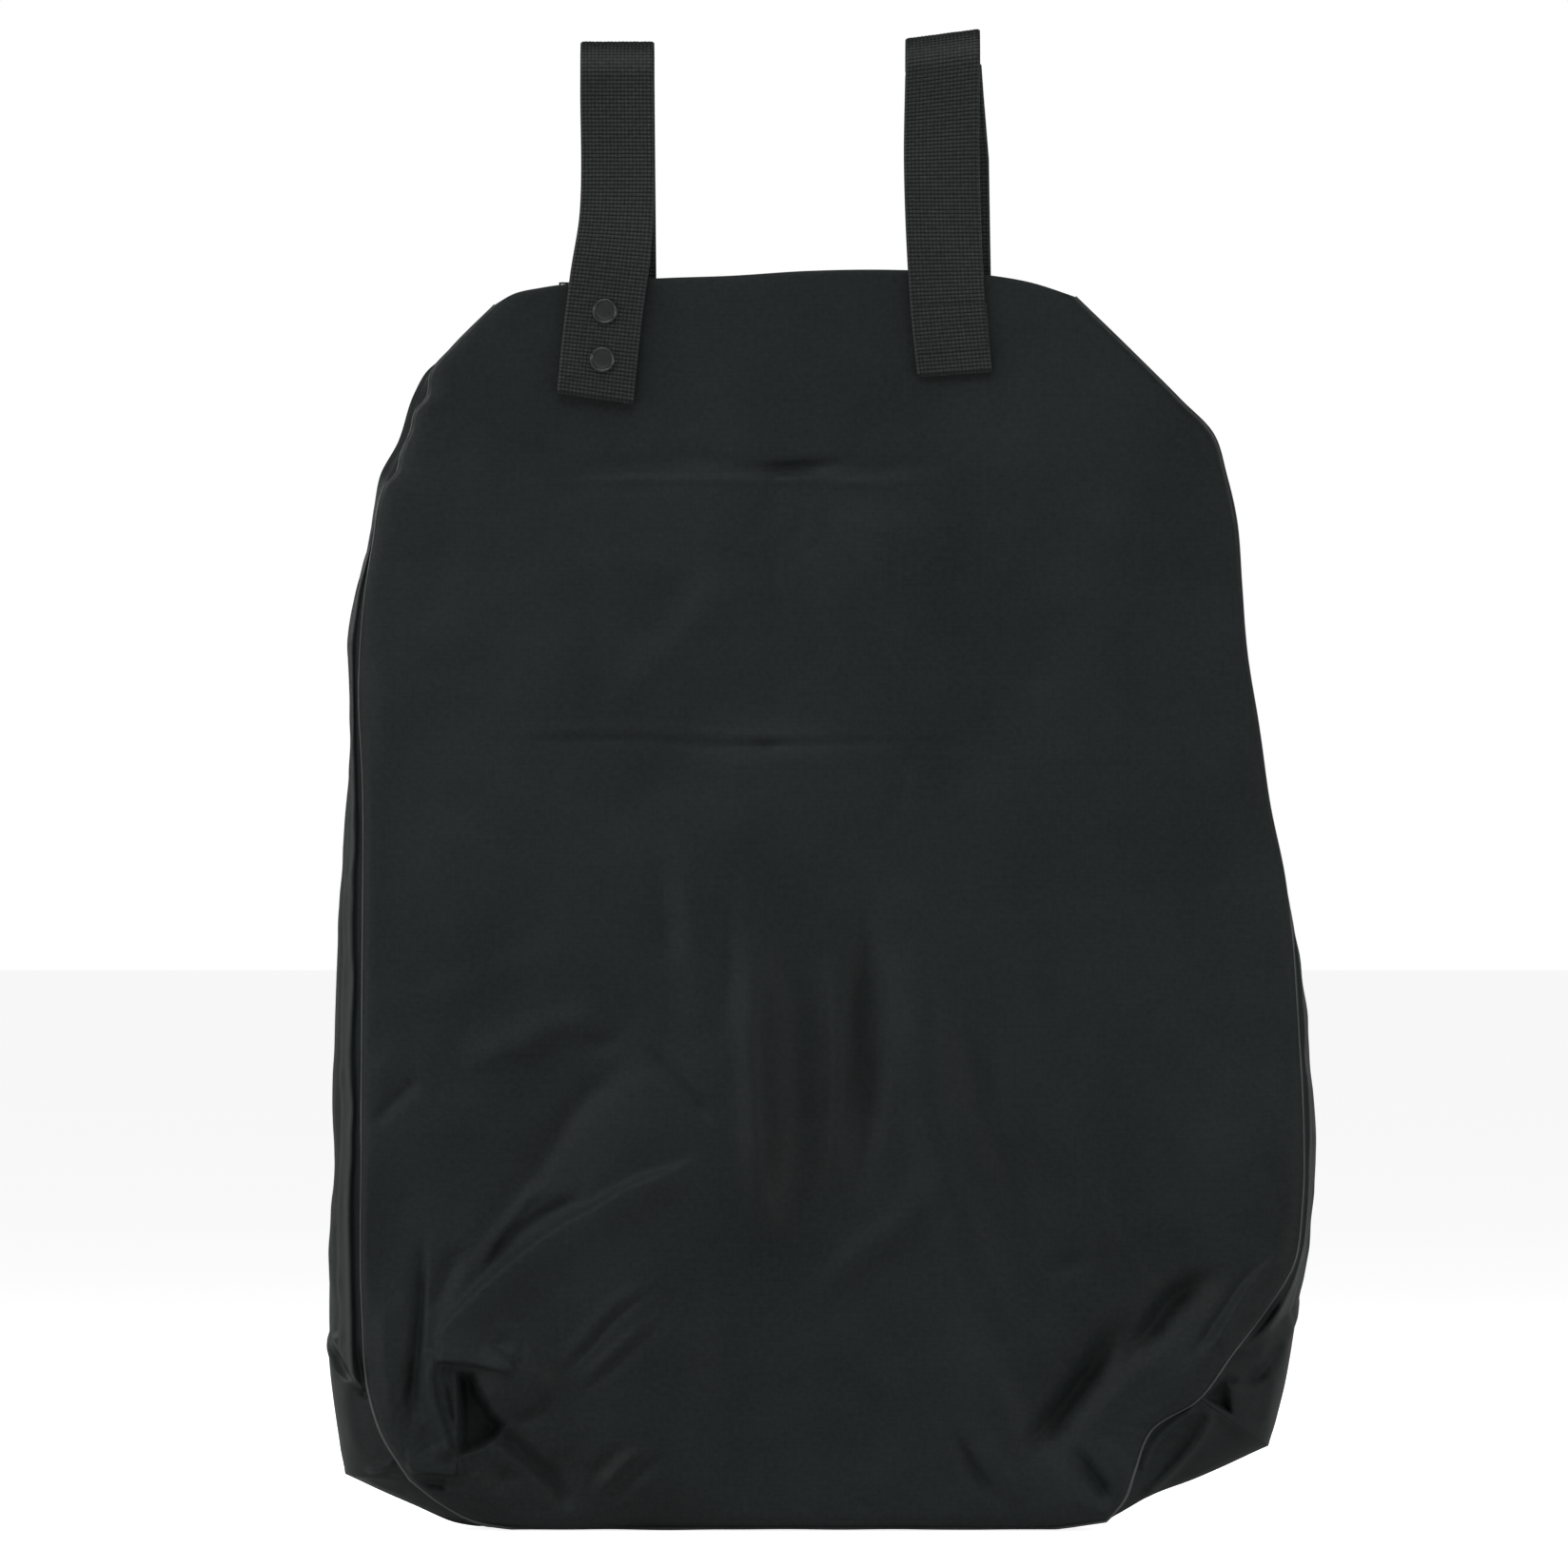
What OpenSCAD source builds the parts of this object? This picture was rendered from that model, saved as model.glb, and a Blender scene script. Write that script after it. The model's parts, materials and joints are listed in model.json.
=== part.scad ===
// Ballast bag with a boxed base, chamfered shoulders, a top zip and two webbing loops.
// Frame: origin at the centre of the base's underside, +Z up, front faces -Y, millimetres.

/* [Bag body] */
// Height of the bag without its loops
body_h = 630; // [600:1:660]
// Half width of the flat base
base_half_w = 160; // [150:1:170]
// Half width where the base turns up into the side
corner_half_w = 234; // [228:1:240]
// Height of that lower corner
corner_z = 35; // [25:1:45]
// Half width at the widest place
belly_half_w = 248; // [242:1:256]
// Half width where the shoulder starts
shoulder_half_w = 208; // [200:1:216]
// Height where the shoulder starts
shoulder_z = 550; // [540:1:560]
// Half width of the flat top
top_half_w = 140; // [138:1:150]
// Depth of the bag over its base
base_depth = 80; // [74:1:90]
// Depth of the bag over its top
top_depth = 30; // [30:1:36]
// Height where the depth starts to taper
taper_low_z = 120; // [100:1:140]
// Height where the taper ends
taper_high_z = 540; // [520:1:550]
// Thickness of the lined nylon sheet
sheet_t = 1; // [0.8:0.1:1.2]

/* [Webbing loops] */
// Width of the webbing
strap_w = 38; // [36:1:40]
// Thickness of the webbing
strap_t = 1.8; // [1.6:0.1:2]
// Place of the opening loop across the bag
left_x = -86; // [-90:1:-82]
// Place of the sewn loop across the bag
right_x = 80; // [76:1:86]
// Angle by which the opening tail leans outwards
left_lean = 3; // [0:0.5:4]
// Height of the top of the opening loop
left_loop_top = 749; // [740:1:760]
// Height of the top of the sewn loop
right_loop_top = 754; // [740:1:764]
// Height of the end of the opening loop's tail
left_tail_z = 570; // [566:1:572]
// Height of the end of the sewn loop's front leg
right_tail_z = 585; // [580:1:588]
// Height of the lower end of both rear legs
rear_leg_z = 560; // [556:1:566]
// Height of the hem at the end of the opening tail
hem_h = 10; // [8:0.5:11]
// Length of webbing folded under at the front of the sewn loop
fold_h = 37; // [34:1:38]

/* [Press studs] */
// Diameter of a stud cap
cap_d = 12.5; // [12:0.1:13]
// Distance between the two studs
snap_pitch = 24.4; // [24:0.1:25]
// Height of the lower stud
snap_z = 589; // [588:0.5:590]
// Distance from the front panel to the inside of the closed tail
snap_stack = 2.9; // [2.8:0.1:3.1]

/* [Zip] */
// Height of the middle of the zip tape
zip_z = 624; // [622:0.5:624.5]
// Distance that the slider travels
zip_travel = 224; // [200:1:224]
// Length of the slider
slider_len = 14; // [12:1:14]
// Length of the pull beyond its pin
pull_len = 22; // [18:1:22]

/* [Ballast] */
// Height of the top of the liners
liner_top_z = 290; // [260:1:300]
// Thickness of a filled liner
liner_depth = 38; // [32:1:42]
// Thickness of the liner film
film_t = 0.5; // [0.4:0.1:0.6]

/* [Hidden] */
gap = 0.05;
fit_gap = 0.1;
wide = 2000;
$fn = 64;

belly_low_z = 150;
belly_high_z = 200;
waist = [235, 339];
rib = [222, 480];
seam_tape_w = 9;
seam_tape_t = 0.8;

back_y = top_depth / 2;
rear_leg_y = back_y + fit_gap;
patch_t = 0.8;
patch_margin = 3;
patch_low_z = 556;
patch_high_z = 621;

stitch_w = 0.8;
stitch_t = 0.3;
stitch_margin = 4;
rear_stitch_h = 46;
front_stitch_h = 26;
front_stitch_z = 594;

cap_rim_h = 0.8;
cap_dome_h = 0.8;
socket_r = 5.7;
stud_flange_r = 5.5;
nipple_r = 3;
post_r = 2.2;
post_head_r = 4.5;
stud_hole_clear = 0.2;
plate_t = 0.6;

zip_half = zip_travel / 2 + slider_len / 2 + 9;
coil_in = 0.6;
coil_out = 3;
coil_half_h = 1.1;
tape_half_t = 0.3;
stop_len = 3;
slider_half_w = 4.6;
slider_clear = 0.3;
slider_plate = 0.9;
flange_t = 0.7;
slider_post = [3, 0.7];
bridge_half_len = 3.5;
bridge_half_w = 1;
bridge_wall = 0.9;
bridge_h = 2.3;
pull_pin_r = 0.55;
pull_t = 1;
pull_arm_in = 1.4;
pull_arm_w = 0.8;
pull_tab_half_w = 3;
pull_arm_len = 8;

slider_x = -zip_travel / 2;
slider_top = zip_z + coil_half_h + slider_clear + slider_plate;
pull_z = slider_top + 0.8;

liner_in_x = 6;
liner_out_x = corner_half_w - 36;
liner_base_x = base_half_w - 14;
liner_low_z = 5;
neck_r = 12;
neck_h = 24;
tie_h = 4;
tie_t = 1.4;

left_tail_y = -back_y - snap_stack;
right_fold_y = -back_y - fit_gap;
right_leg_y = right_fold_y - strap_t - fit_gap;

// Height of the middle of a loop's bend, from its top and the inner face of its front end.
function crown_z(front_y, top_z) = top_z - (rear_leg_y - front_y) / 2 - strap_t;

// The opening tail laps over the front end of the crown and swings about the crown's centre.
left_crown_y = left_tail_y + fit_gap + strap_t;
left_hinge_z = crown_z(left_crown_y, left_loop_top);

// ---- outline and depth profile --------------------------------------------------------------

// Right half of the bag's outline, from the base to the top.
half_outline = [
    [base_half_w, 0],
    [corner_half_w, corner_z],
    [belly_half_w, belly_low_z],
    [belly_half_w, belly_high_z],
    waist,
    rib,
    [shoulder_half_w, shoulder_z],
    [top_half_w, body_h]
];
last = len(half_outline) - 1;
outline = concat(half_outline, [for (i = [last:-1:0]) [-half_outline[i].x, half_outline[i].y]]);

// Unit normal that points into a counter-clockwise outline.
function inward(a, b) = [a.y - b.y, b.x - a.x] / norm(b - a);

// Corner b of an outline, moved inwards by d from both of its edges.
function inset_point(a, b, c, d) =
    let (n1 = inward(a, b), n2 = inward(b, c))
    b + d * (n1 + n2) / (1 + n1 * n2);

function inset(points, d) =
    let (n = len(points))
    [for (i = [0:n - 1]) inset_point(points[(i + n - 1) % n], points[i], points[(i + 1) % n], d)];

// Half depth of the bag, less t, as points from the base to the top.
function depth_points(t) = [
    [base_depth / 2 - t, 0],
    [base_depth / 2 - t, taper_low_z],
    [top_depth / 2 - t, taper_high_z],
    [top_depth / 2 - t, body_h]
];

function reversed(points) = [for (i = [len(points) - 1:-1:0]) points[i]];

// A shape drawn in X and Z, extruded along Y from y0 to y1.
module along_y(y0, y1) {
    translate([0, y1, 0]) rotate([90, 0, 0]) linear_extrude(y1 - y0) children();
}

// A shape drawn in Y and Z, extruded along X from x0 to x1.
module along_x(x0, x1) {
    translate([x0, 0, 0]) rotate([90, 0, 90]) linear_extrude(x1 - x0) children();
}

// Everything within the bag's outline, moved inwards by d.
module outline_prism(d) {
    along_y(-base_depth, base_depth) polygon(inset(outline, d));
}

// A layer that follows the depth profile, from t0 to t1 inside its face; side is -1 in front.
module depth_layer(side, t0, t1) {
    points = concat(depth_points(t0), reversed(depth_points(t1)));
    along_x(-wide / 2, wide / 2) polygon([for (p = points) [side * p.x, p.y]]);
}

// Everything between the two panels.
module inside_depth(t) {
    along_x(-wide / 2, wide / 2)
        polygon(concat(depth_points(t), [for (p = reversed(depth_points(t))) [-p.x, p.y]]));
}

// ---- bag shell --------------------------------------------------------------------------------

module panel(side) {
    intersection() {
        outline_prism(0);
        depth_layer(side, 0, sheet_t);
    }
}

// Leans its children with the opening tail.
module leaned() {
    translate([left_x, 0, left_hinge_z]) rotate([0, left_lean, 0])
        translate([-left_x, 0, -left_hinge_z]) children();
}

// Puts its children at both press studs, with their +Z pointing out of the front.
module at_snaps(y) {
    for (z = [snap_z, snap_z + snap_pitch])
        leaned() translate([left_x, y, z]) rotate([90, 0, 0]) children();
}

// Round hole for each stud, through everything near y.
module snap_holes(y, r) {
    at_snaps(y) cylinder(h = 8, r = r, center = true);
}

module front_panel() {
    color("#26282a") difference() {
        panel(-1);
        snap_holes(-back_y, post_r + stud_hole_clear);
    }
}

module back_panel() {
    color("#242628") panel(1);
}

// The closed strip between the panels, before it is cut into its pieces.
module gusset_ring() {
    intersection() {
        difference() {
            outline_prism(0);
            outline_prism(sheet_t);
        }
        inside_depth(sheet_t + gap);
    }
}

module side_gusset(side) {
    color("#222426") intersection() {
        gusset_ring();
        translate([side > 0 ? top_half_w : -wide / 2, -wide / 2, corner_z])
            cube([wide / 2 - (side > 0 ? 0 : top_half_w), wide, body_h]);
    }
}

module left_gusset() {
    side_gusset(-1);
}

module right_gusset() {
    side_gusset(1);
}

module bottom_gusset() {
    color("#222426") intersection() {
        gusset_ring();
        translate([-wide / 2, -wide / 2, 0]) cube([wide, wide, corner_z - gap]);
    }
}

// Binding over the raw edges inside a seam, open along the zip.
module seam_tape(side) {
    color("#1c1d1f") difference() {
        intersection() {
            outline_prism(sheet_t + fit_gap);
            depth_layer(side, sheet_t + fit_gap, sheet_t + fit_gap + seam_tape_t);
        }
        outline_prism(sheet_t + fit_gap + seam_tape_w);
        translate([-top_half_w, -wide / 2, shoulder_z]) cube([2 * top_half_w, wide, wide]);
    }
}

module front_seam_tape() {
    seam_tape(-1);
}

module back_seam_tape() {
    seam_tape(1);
}

// Backing patches inside both panels, behind the loops.
module strap_patches() {
    half_w = strap_w / 2 + patch_margin;
    inner = back_y - sheet_t - gap;
    color("#1c1d1f") difference() {
        for (x = [left_x, right_x], side = [-1, 1])
            translate([x - half_w, side > 0 ? inner - patch_t : -inner, patch_low_z])
                cube([2 * half_w, patch_t, patch_high_z - patch_low_z]);
        snap_holes(-back_y, post_r + stud_hole_clear);
    }
}

// ---- webbing loops ----------------------------------------------------------------------------

// Section of a loop in Y and Z: rear leg, half-round crown and front leg down to front_low_z.
module loop_section(front_y, top_z, front_low_z) {
    r_in = (rear_leg_y - front_y) / 2;
    r_out = r_in + strap_t;
    mid_z = crown_z(front_y, top_z);
    translate([rear_leg_y, rear_leg_z]) square([strap_t, mid_z - rear_leg_z]);
    if (front_low_z < mid_z)
        translate([front_y - strap_t, front_low_z]) square([strap_t, mid_z - front_low_z]);
    translate([(rear_leg_y + front_y) / 2, mid_z]) difference() {
        circle(r_out);
        circle(r_in);
        translate([-2 * r_out, -2 * r_out]) square([4 * r_out, 2 * r_out]);
    }
}

module left_strap() {
    color("#2e2f30") along_x(left_x - strap_w / 2, left_x + strap_w / 2)
        loop_section(left_crown_y, left_loop_top, left_hinge_z);
}

// Section of the opening tail: flat leg and hemmed lower end.
module tail_section() {
    low_z = left_tail_z + strap_t;
    translate([left_tail_y - strap_t, low_z]) square([strap_t, left_hinge_z - low_z]);
    translate([left_tail_y, low_z]) intersection() {
        circle(strap_t);
        translate([-strap_t, -strap_t]) square([2 * strap_t, strap_t]);
    }
    translate([left_tail_y + gap, low_z]) square([strap_t - gap, hem_h - strap_t]);
}

module left_strap_tail() {
    color("#2e2f30") difference() {
        leaned() along_x(left_x - strap_w / 2, left_x + strap_w / 2) tail_section();
        snap_holes(left_tail_y, post_r + fit_gap);
    }
}

module right_strap() {
    fold_r = (right_fold_y - right_leg_y + strap_t) / 2;
    low_z = right_tail_z + fold_r;
    color("#2e2f30") along_x(right_x - strap_w / 2, right_x + strap_w / 2) {
        loop_section(right_leg_y, right_loop_top, low_z);
        translate([right_fold_y - fold_r, low_z]) intersection() {
            circle(fold_r);
            translate([-fold_r, -fold_r]) square([2 * fold_r, fold_r]);
        }
        translate([right_fold_y - strap_t, low_z]) square([strap_t, fold_h - fold_r]);
    }
}

// A rectangle of thread with a cross in it, drawn in X and Z about its lower middle.
module stitch_box(w, h) {
    length = norm([w, h]) - stitch_w;
    translate([0, h / 2]) {
        difference() {
            square([w, h], center = true);
            square([w - 2 * stitch_w, h - 2 * stitch_w], center = true);
        }
        for (side = [-1, 1])
            rotate(side * atan2(h, w)) square([length, stitch_w], center = true);
    }
}

module strap_stitching() {
    w = strap_w - 2 * stitch_margin;
    rear_y = rear_leg_y + strap_t;
    front_y = right_leg_y - strap_t;
    color("#151617") {
        for (x = [left_x, right_x])
            along_y(rear_y, rear_y + stitch_t)
                translate([x, rear_leg_z + stitch_margin]) stitch_box(w, rear_stitch_h);
        along_y(front_y - stitch_t, front_y)
            translate([right_x, front_stitch_z]) stitch_box(w, front_stitch_h);
    }
}

module tail_stitching() {
    w = strap_w - 2 * stitch_margin;
    face_y = left_tail_y - strap_t;
    color("#151617") leaned() along_y(face_y - stitch_t, face_y)
        translate([left_x - w / 2, left_tail_z + hem_h - 2 * stitch_w]) square([w, stitch_w]);
}

// ---- press studs ------------------------------------------------------------------------------

// Domed cap outside the tail, with the rivet that passes through the webbing.
module snap_caps() {
    dome_r = (cap_d * cap_d / 4 + cap_dome_h * cap_dome_h) / (2 * cap_dome_h);
    color("#1b1c1d") at_snaps(left_tail_y - strap_t) {
        translate([0, 0, gap]) cylinder(h = cap_rim_h, d = cap_d);
        translate([0, 0, gap + cap_rim_h]) intersection() {
            translate([0, 0, cap_dome_h - dome_r]) sphere(dome_r, $fn = 240);
            cylinder(h = cap_dome_h, d = cap_d);
        }
        translate([0, 0, -strap_t - plate_t / 2]) cylinder(h = strap_t + plate_t / 2 + gap, r = post_r);
    }
}

// Spring half behind the tail: a cup whose mouth takes the stud's nipple.
module snap_sockets() {
    depth = snap_stack - plate_t - 2 * gap - fit_gap;
    color("#3a3c3e") at_snaps(left_tail_y + gap + depth) difference() {
        cylinder(h = depth, r = socket_r);
        translate([0, 0, -1]) cylinder(h = depth - plate_t + 1, r = nipple_r + fit_gap);
        cylinder(h = depth + 1, r = post_r + fit_gap);
    }
}

// Mating half on the front panel: a flange with a hollow nipple.
module snap_studs() {
    reach = snap_stack - 2 * plate_t;
    color("#3a3c3e") at_snaps(-back_y) difference() {
        union() {
            translate([0, 0, gap]) cylinder(h = plate_t - gap, r = stud_flange_r);
            translate([0, 0, plate_t / 2]) cylinder(h = reach - plate_t / 2, r = nipple_r);
        }
        translate([0, 0, -1]) cylinder(h = wide, r = post_r + fit_gap);
    }
}

// Eyelet that clinches a stud from inside the bag, through the patch and the panel.
module snap_posts() {
    layers = sheet_t + gap + patch_t + gap;
    color("#3a3c3e") at_snaps(-back_y + layers) {
        translate([0, 0, -plate_t]) cylinder(h = plate_t, r = post_head_r);
        translate([0, 0, -plate_t / 2]) cylinder(h = layers + plate_t, r = post_r);
    }
}

// ---- zip --------------------------------------------------------------------------------------

module zip_tape(side) {
    in_y = coil_out + gap;
    width = back_y - sheet_t - gap - in_y;
    color("#1f2022") translate([-zip_half, side > 0 ? in_y : -in_y - width, zip_z - tape_half_t])
        cube([2 * zip_half, width, 2 * tape_half_t]);
}

module zip_tape_front() {
    zip_tape(-1);
}

module zip_tape_rear() {
    zip_tape(1);
}

module zip_coil(side) {
    half_len = zip_travel / 2 + slider_len / 2 + 1;
    width = coil_out - coil_in;
    color("#151617") translate([-half_len, side > 0 ? coil_in : -coil_out, zip_z - coil_half_h])
        cube([2 * half_len, width, 2 * coil_half_h]);
}

module zip_coil_front() {
    zip_coil(-1);
}

module zip_coil_rear() {
    zip_coil(1);
}

module zip_stops() {
    start = zip_travel / 2 + slider_len / 2 + 1 + fit_gap;
    color("#3a3c3e") for (x = [-start - stop_len, start])
        translate([x, -coil_out, zip_z - coil_half_h]) cube([stop_len, 2 * coil_out, 2 * coil_half_h]);
}

// Slider about its own middle: two plates, four flanges, the post and the bridge for the pull.
module slider_body() {
    plate_gap = coil_half_h + slider_clear;
    flange_h = plate_gap - tape_half_t - slider_clear;
    for (level = [-1, 1]) {
        translate([-slider_len / 2, -slider_half_w, level > 0 ? plate_gap : -plate_gap - slider_plate])
            cube([slider_len, 2 * slider_half_w, slider_plate]);
        for (side = [-1, 1])
            translate([
                -slider_len / 2,
                side > 0 ? slider_half_w - flange_t : -slider_half_w,
                level > 0 ? plate_gap - flange_h : -plate_gap
            ]) cube([slider_len, flange_t, flange_h]);
    }
    translate([-slider_post.x / 2, -slider_post.y / 2, -plate_gap])
        cube([slider_post.x, slider_post.y, 2 * plate_gap]);
    translate([0, 0, plate_gap + slider_plate]) difference() {
        translate([-bridge_half_len, -bridge_half_w, 0])
            cube([2 * bridge_half_len, 2 * bridge_half_w, bridge_h]);
        translate([bridge_wall - bridge_half_len, -wide / 2, 0])
            cube([2 * (bridge_half_len - bridge_wall), wide, bridge_h - bridge_wall]);
    }
}

module zip_slider() {
    color("#2a2b2d") translate([slider_x, 0, zip_z]) slider_body();
}

// Pull: a pin through the slider's bridge, two arms and a flat tab.
module zip_pull() {
    arm_out = pull_arm_in + pull_arm_w;
    color("#2a2b2d") translate([slider_x, 0, pull_z]) {
        rotate([90, 0, 0]) cylinder(h = 2 * arm_out, r = pull_pin_r, center = true);
        for (y = [-arm_out, pull_arm_in]) translate([0, y, 0]) {
            translate([0, 0, -pull_t / 2]) cube([pull_arm_len, pull_arm_w, pull_t]);
            translate([0, pull_arm_w, 0]) rotate([90, 0, 0]) cylinder(h = pull_arm_w, r = pull_pin_r);
        }
        translate([pull_arm_len - 1, -pull_tab_half_w, -pull_t / 2])
            cube([pull_len - pull_arm_len + 1, 2 * pull_tab_half_w, pull_t]);
    }
}

// ---- ballast ----------------------------------------------------------------------------------

// Outline of one pouch in X and Z, less d all round.
module pouch_outline(side, d) {
    points = [
        [liner_in_x, liner_low_z],
        [liner_base_x, liner_low_z],
        [liner_out_x, corner_z + 12],
        [liner_out_x, liner_top_z],
        [liner_in_x, liner_top_z]
    ];
    inner = inset(points, d);
    polygon(side > 0 ? inner : [for (p = reversed(inner)) [-p.x, p.y]]);
}

// Where a pouch's neck stands.
neck_x = (liner_in_x + liner_out_x) / 2;

module pouch_neck(side, r, low, high) {
    translate([side * neck_x, 0, liner_top_z + low]) cylinder(h = high - low, r = r);
}

module sand_liner(side) {
    half = liner_depth / 2;
    color("#8c8f92") difference() {
        union() {
            along_y(-half, half) pouch_outline(side, 0);
            pouch_neck(side, neck_r, -1, neck_h);
        }
        along_y(film_t - half, half - film_t) pouch_outline(side, film_t);
        pouch_neck(side, neck_r - film_t, -3, neck_h + 1);
    }
}

module sand_liner_left() {
    sand_liner(-1);
}

module sand_liner_right() {
    sand_liner(1);
}

module liner_ties() {
    color("#e8e8e4") for (side = [-1, 1]) difference() {
        pouch_neck(side, neck_r + gap + tie_t, neck_h / 2, neck_h / 2 + tie_h);
        pouch_neck(side, neck_r + gap, 0, neck_h);
    }
}

module sand_fill(side) {
    half = liner_depth / 2 - film_t - gap;
    color("#b49a6c") along_y(-half, half) pouch_outline(side, film_t + gap);
}

module sand_fill_left() {
    sand_fill(-1);
}

module sand_fill_right() {
    sand_fill(1);
}

front_panel();
back_panel();
left_gusset();
right_gusset();
bottom_gusset();
front_seam_tape();
back_seam_tape();
strap_patches();
left_strap();
left_strap_tail();
right_strap();
strap_stitching();
tail_stitching();
snap_caps();
snap_sockets();
snap_studs();
snap_posts();
zip_tape_front();
zip_tape_rear();
zip_coil_front();
zip_coil_rear();
zip_stops();
zip_slider();
zip_pull();
sand_liner_left();
sand_liner_right();
liner_ties();
sand_fill_left();
sand_fill_right();
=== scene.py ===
"""Looks of the ballast bag: nylon shell, webbing loops, press studs and zip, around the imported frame.

Shapes are worked out in millimetres in the frame's own axes (+X right, -Y front, +Z up) and are
turned into metres when a mesh is made.
"""
import json
import math

import bpy
import numpy as np
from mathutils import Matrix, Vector


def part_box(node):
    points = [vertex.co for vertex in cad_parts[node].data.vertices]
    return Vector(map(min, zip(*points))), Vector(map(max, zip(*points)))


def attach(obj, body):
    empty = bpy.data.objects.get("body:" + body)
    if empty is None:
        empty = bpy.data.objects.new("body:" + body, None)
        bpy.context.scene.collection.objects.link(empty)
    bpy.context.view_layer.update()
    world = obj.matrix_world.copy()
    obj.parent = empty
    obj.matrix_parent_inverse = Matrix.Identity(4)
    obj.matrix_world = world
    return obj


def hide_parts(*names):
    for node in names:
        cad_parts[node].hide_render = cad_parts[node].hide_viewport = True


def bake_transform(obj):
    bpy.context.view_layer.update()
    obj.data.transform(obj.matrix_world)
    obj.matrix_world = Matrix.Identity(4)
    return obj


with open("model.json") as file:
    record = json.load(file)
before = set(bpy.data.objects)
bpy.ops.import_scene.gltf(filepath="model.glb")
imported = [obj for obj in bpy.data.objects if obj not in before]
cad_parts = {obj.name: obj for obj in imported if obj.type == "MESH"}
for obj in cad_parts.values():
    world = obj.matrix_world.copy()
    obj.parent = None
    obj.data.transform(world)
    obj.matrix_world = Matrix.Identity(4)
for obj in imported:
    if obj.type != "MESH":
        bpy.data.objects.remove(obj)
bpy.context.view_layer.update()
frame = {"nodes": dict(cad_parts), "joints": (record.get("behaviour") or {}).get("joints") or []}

MM = 0.001
SEED = 7

# ---- driving sizes from the frame ----


def box_mm(node):
    """Lowest and highest corner of a CAD node, in millimetres."""
    low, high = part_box(node)
    return np.array(low) / MM, np.array(high) / MM


PANEL_HIGH = box_mm("front_panel")[1]
BAG_TOP = PANEL_HIGH[2]
TAIL_LOW = box_mm("left_strap_tail")[0]
LEFT_LOW, LEFT_HIGH = box_mm("left_strap")
RIGHT_LOW, RIGHT_HIGH = box_mm("right_strap")
STRAP_W = LEFT_HIGH[0] - LEFT_LOW[0]
STRAP_T = 1.8
RIGHT_HEM_Z = 583.5
SHEET_T = 0.8

# Sewn boxes behind both loops: lowest and highest X of each, then their common heights.
REAR_BOXES = ((-101, -71), (68.5, 98.5))
REAR_BOX_Z = (564, 610)

# Corners of the leaning sewn box in front of the sewn loop, in X and Z, in turn around it.
FRONT_BOX = ((65.6, 592.4), (101, 595.2), (98.6, 618.8), (64.0, 616.2))

# Ends of the row of stitches across the hem of the opening loop.
HEM_ROW = ((-112.6, 580.6), (-78.4, 576.9))

# ---- outlines, bottom to top or left to right ----

FRONT_LEFT = [(-190, 26), (-204, 49), (-211, 72), (-214, 110), (-214.5, 195), (-214, 290),
              (-214, 376), (-216, 425), (-213, 472), (-208.5, 500), (-206.5, 515), (-203, 526),
              (-197.5, 532), (-195, 542), (-190, 554), (-188, 563), (-182, 571), (-180, 583),
              (-170, 595), (-148, 617)]
FRONT_RIGHT = [(160, 5), (169, 16), (174, 30), (182, 50), (206, 66), (224, 90), (241, 112),
               (254, 134), (258.5, 165), (259, 205), (257, 246), (250, 328), (243, 363), (236, 411),
               (231, 443), (228.5, 475), (225.5, 511), (221, 531), (215, 551), (198, 569), (145, 621)]
FRONT_BOTTOM = [(-190, 26), (-175, 14), (-158, 5), (-138, 1.2), (-60, 1), (60, 1), (133, 1.2),
                (160, 5)]
FRONT_TOP = [(-148, 617), (-138, 622.5), (-124, 625.6), (-90, 629), (-60, 630.5), (-30, 631.5),
             (10, 634), (55, 634.5), (100, 632), (121, 628.5), (145, 621)]
BACK_LEFT = [(-224, 27), (-232, 95), (-232, 128), (-229, 195), (-229, 243), (-226, 311),
             (-222, 360), (-217, 392), (-217, 425), (-219, 447), (-217, 467), (-212, 495),
             (-209, 515), (-206, 531), (-197, 548), (-189, 572), (-183, 583), (-170, 594),
             (-148, 616)]
BACK_RIGHT = [(243, 41), (251, 73), (255, 98), (259, 128), (264, 170), (263, 230),
              (257, 280), (248, 339), (235, 393), (227, 430), (222, 470), (217, 515),
              (208, 543), (192, 565), (143, 619)]
BACK_BOTTOM = [(-224, 27), (-190, 12), (-166, 2), (-100, 0.6), (100, 0.6), (133, 1), (162, 5),
               (183, 16), (207, 25), (243, 41)]
BACK_TOP = [(-148, 616), (-124, 625), (-100, 628), (-20, 631), (60, 630.5), (110, 628), (143, 619)]

# Height on the right edge of the front panel where the right and bottom strips meet.
MITRE_Z = 66

# Lowest height of the panels, which leaves room for the turned edge above the ground.
SOLE = 1.4

# Half depth of the bag against height.
DEPTH = [(0, 37), (20, 39.5), (60, 41), (130, 40), (250, 33.5), (400, 24.5), (500, 17.5),
         (545, 15.3), (640, 15.1)]


def distances(points):
    """How far along a line each of its points lies."""
    return np.concatenate([[0], np.cumsum(np.linalg.norm(np.diff(points, axis=0), axis=1))])


def unit(vectors):
    """Each row scaled to length 1."""
    return vectors / np.linalg.norm(vectors, axis=1)[:, None]


def even(line, count):
    """A line as count points at an even step, and how far along it each one lies."""
    d = distances(line)
    t = np.linspace(0, d[-1], count)
    return np.stack([np.interp(t, d, line[:, k]) for k in range(line.shape[1])], axis=-1), t


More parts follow.
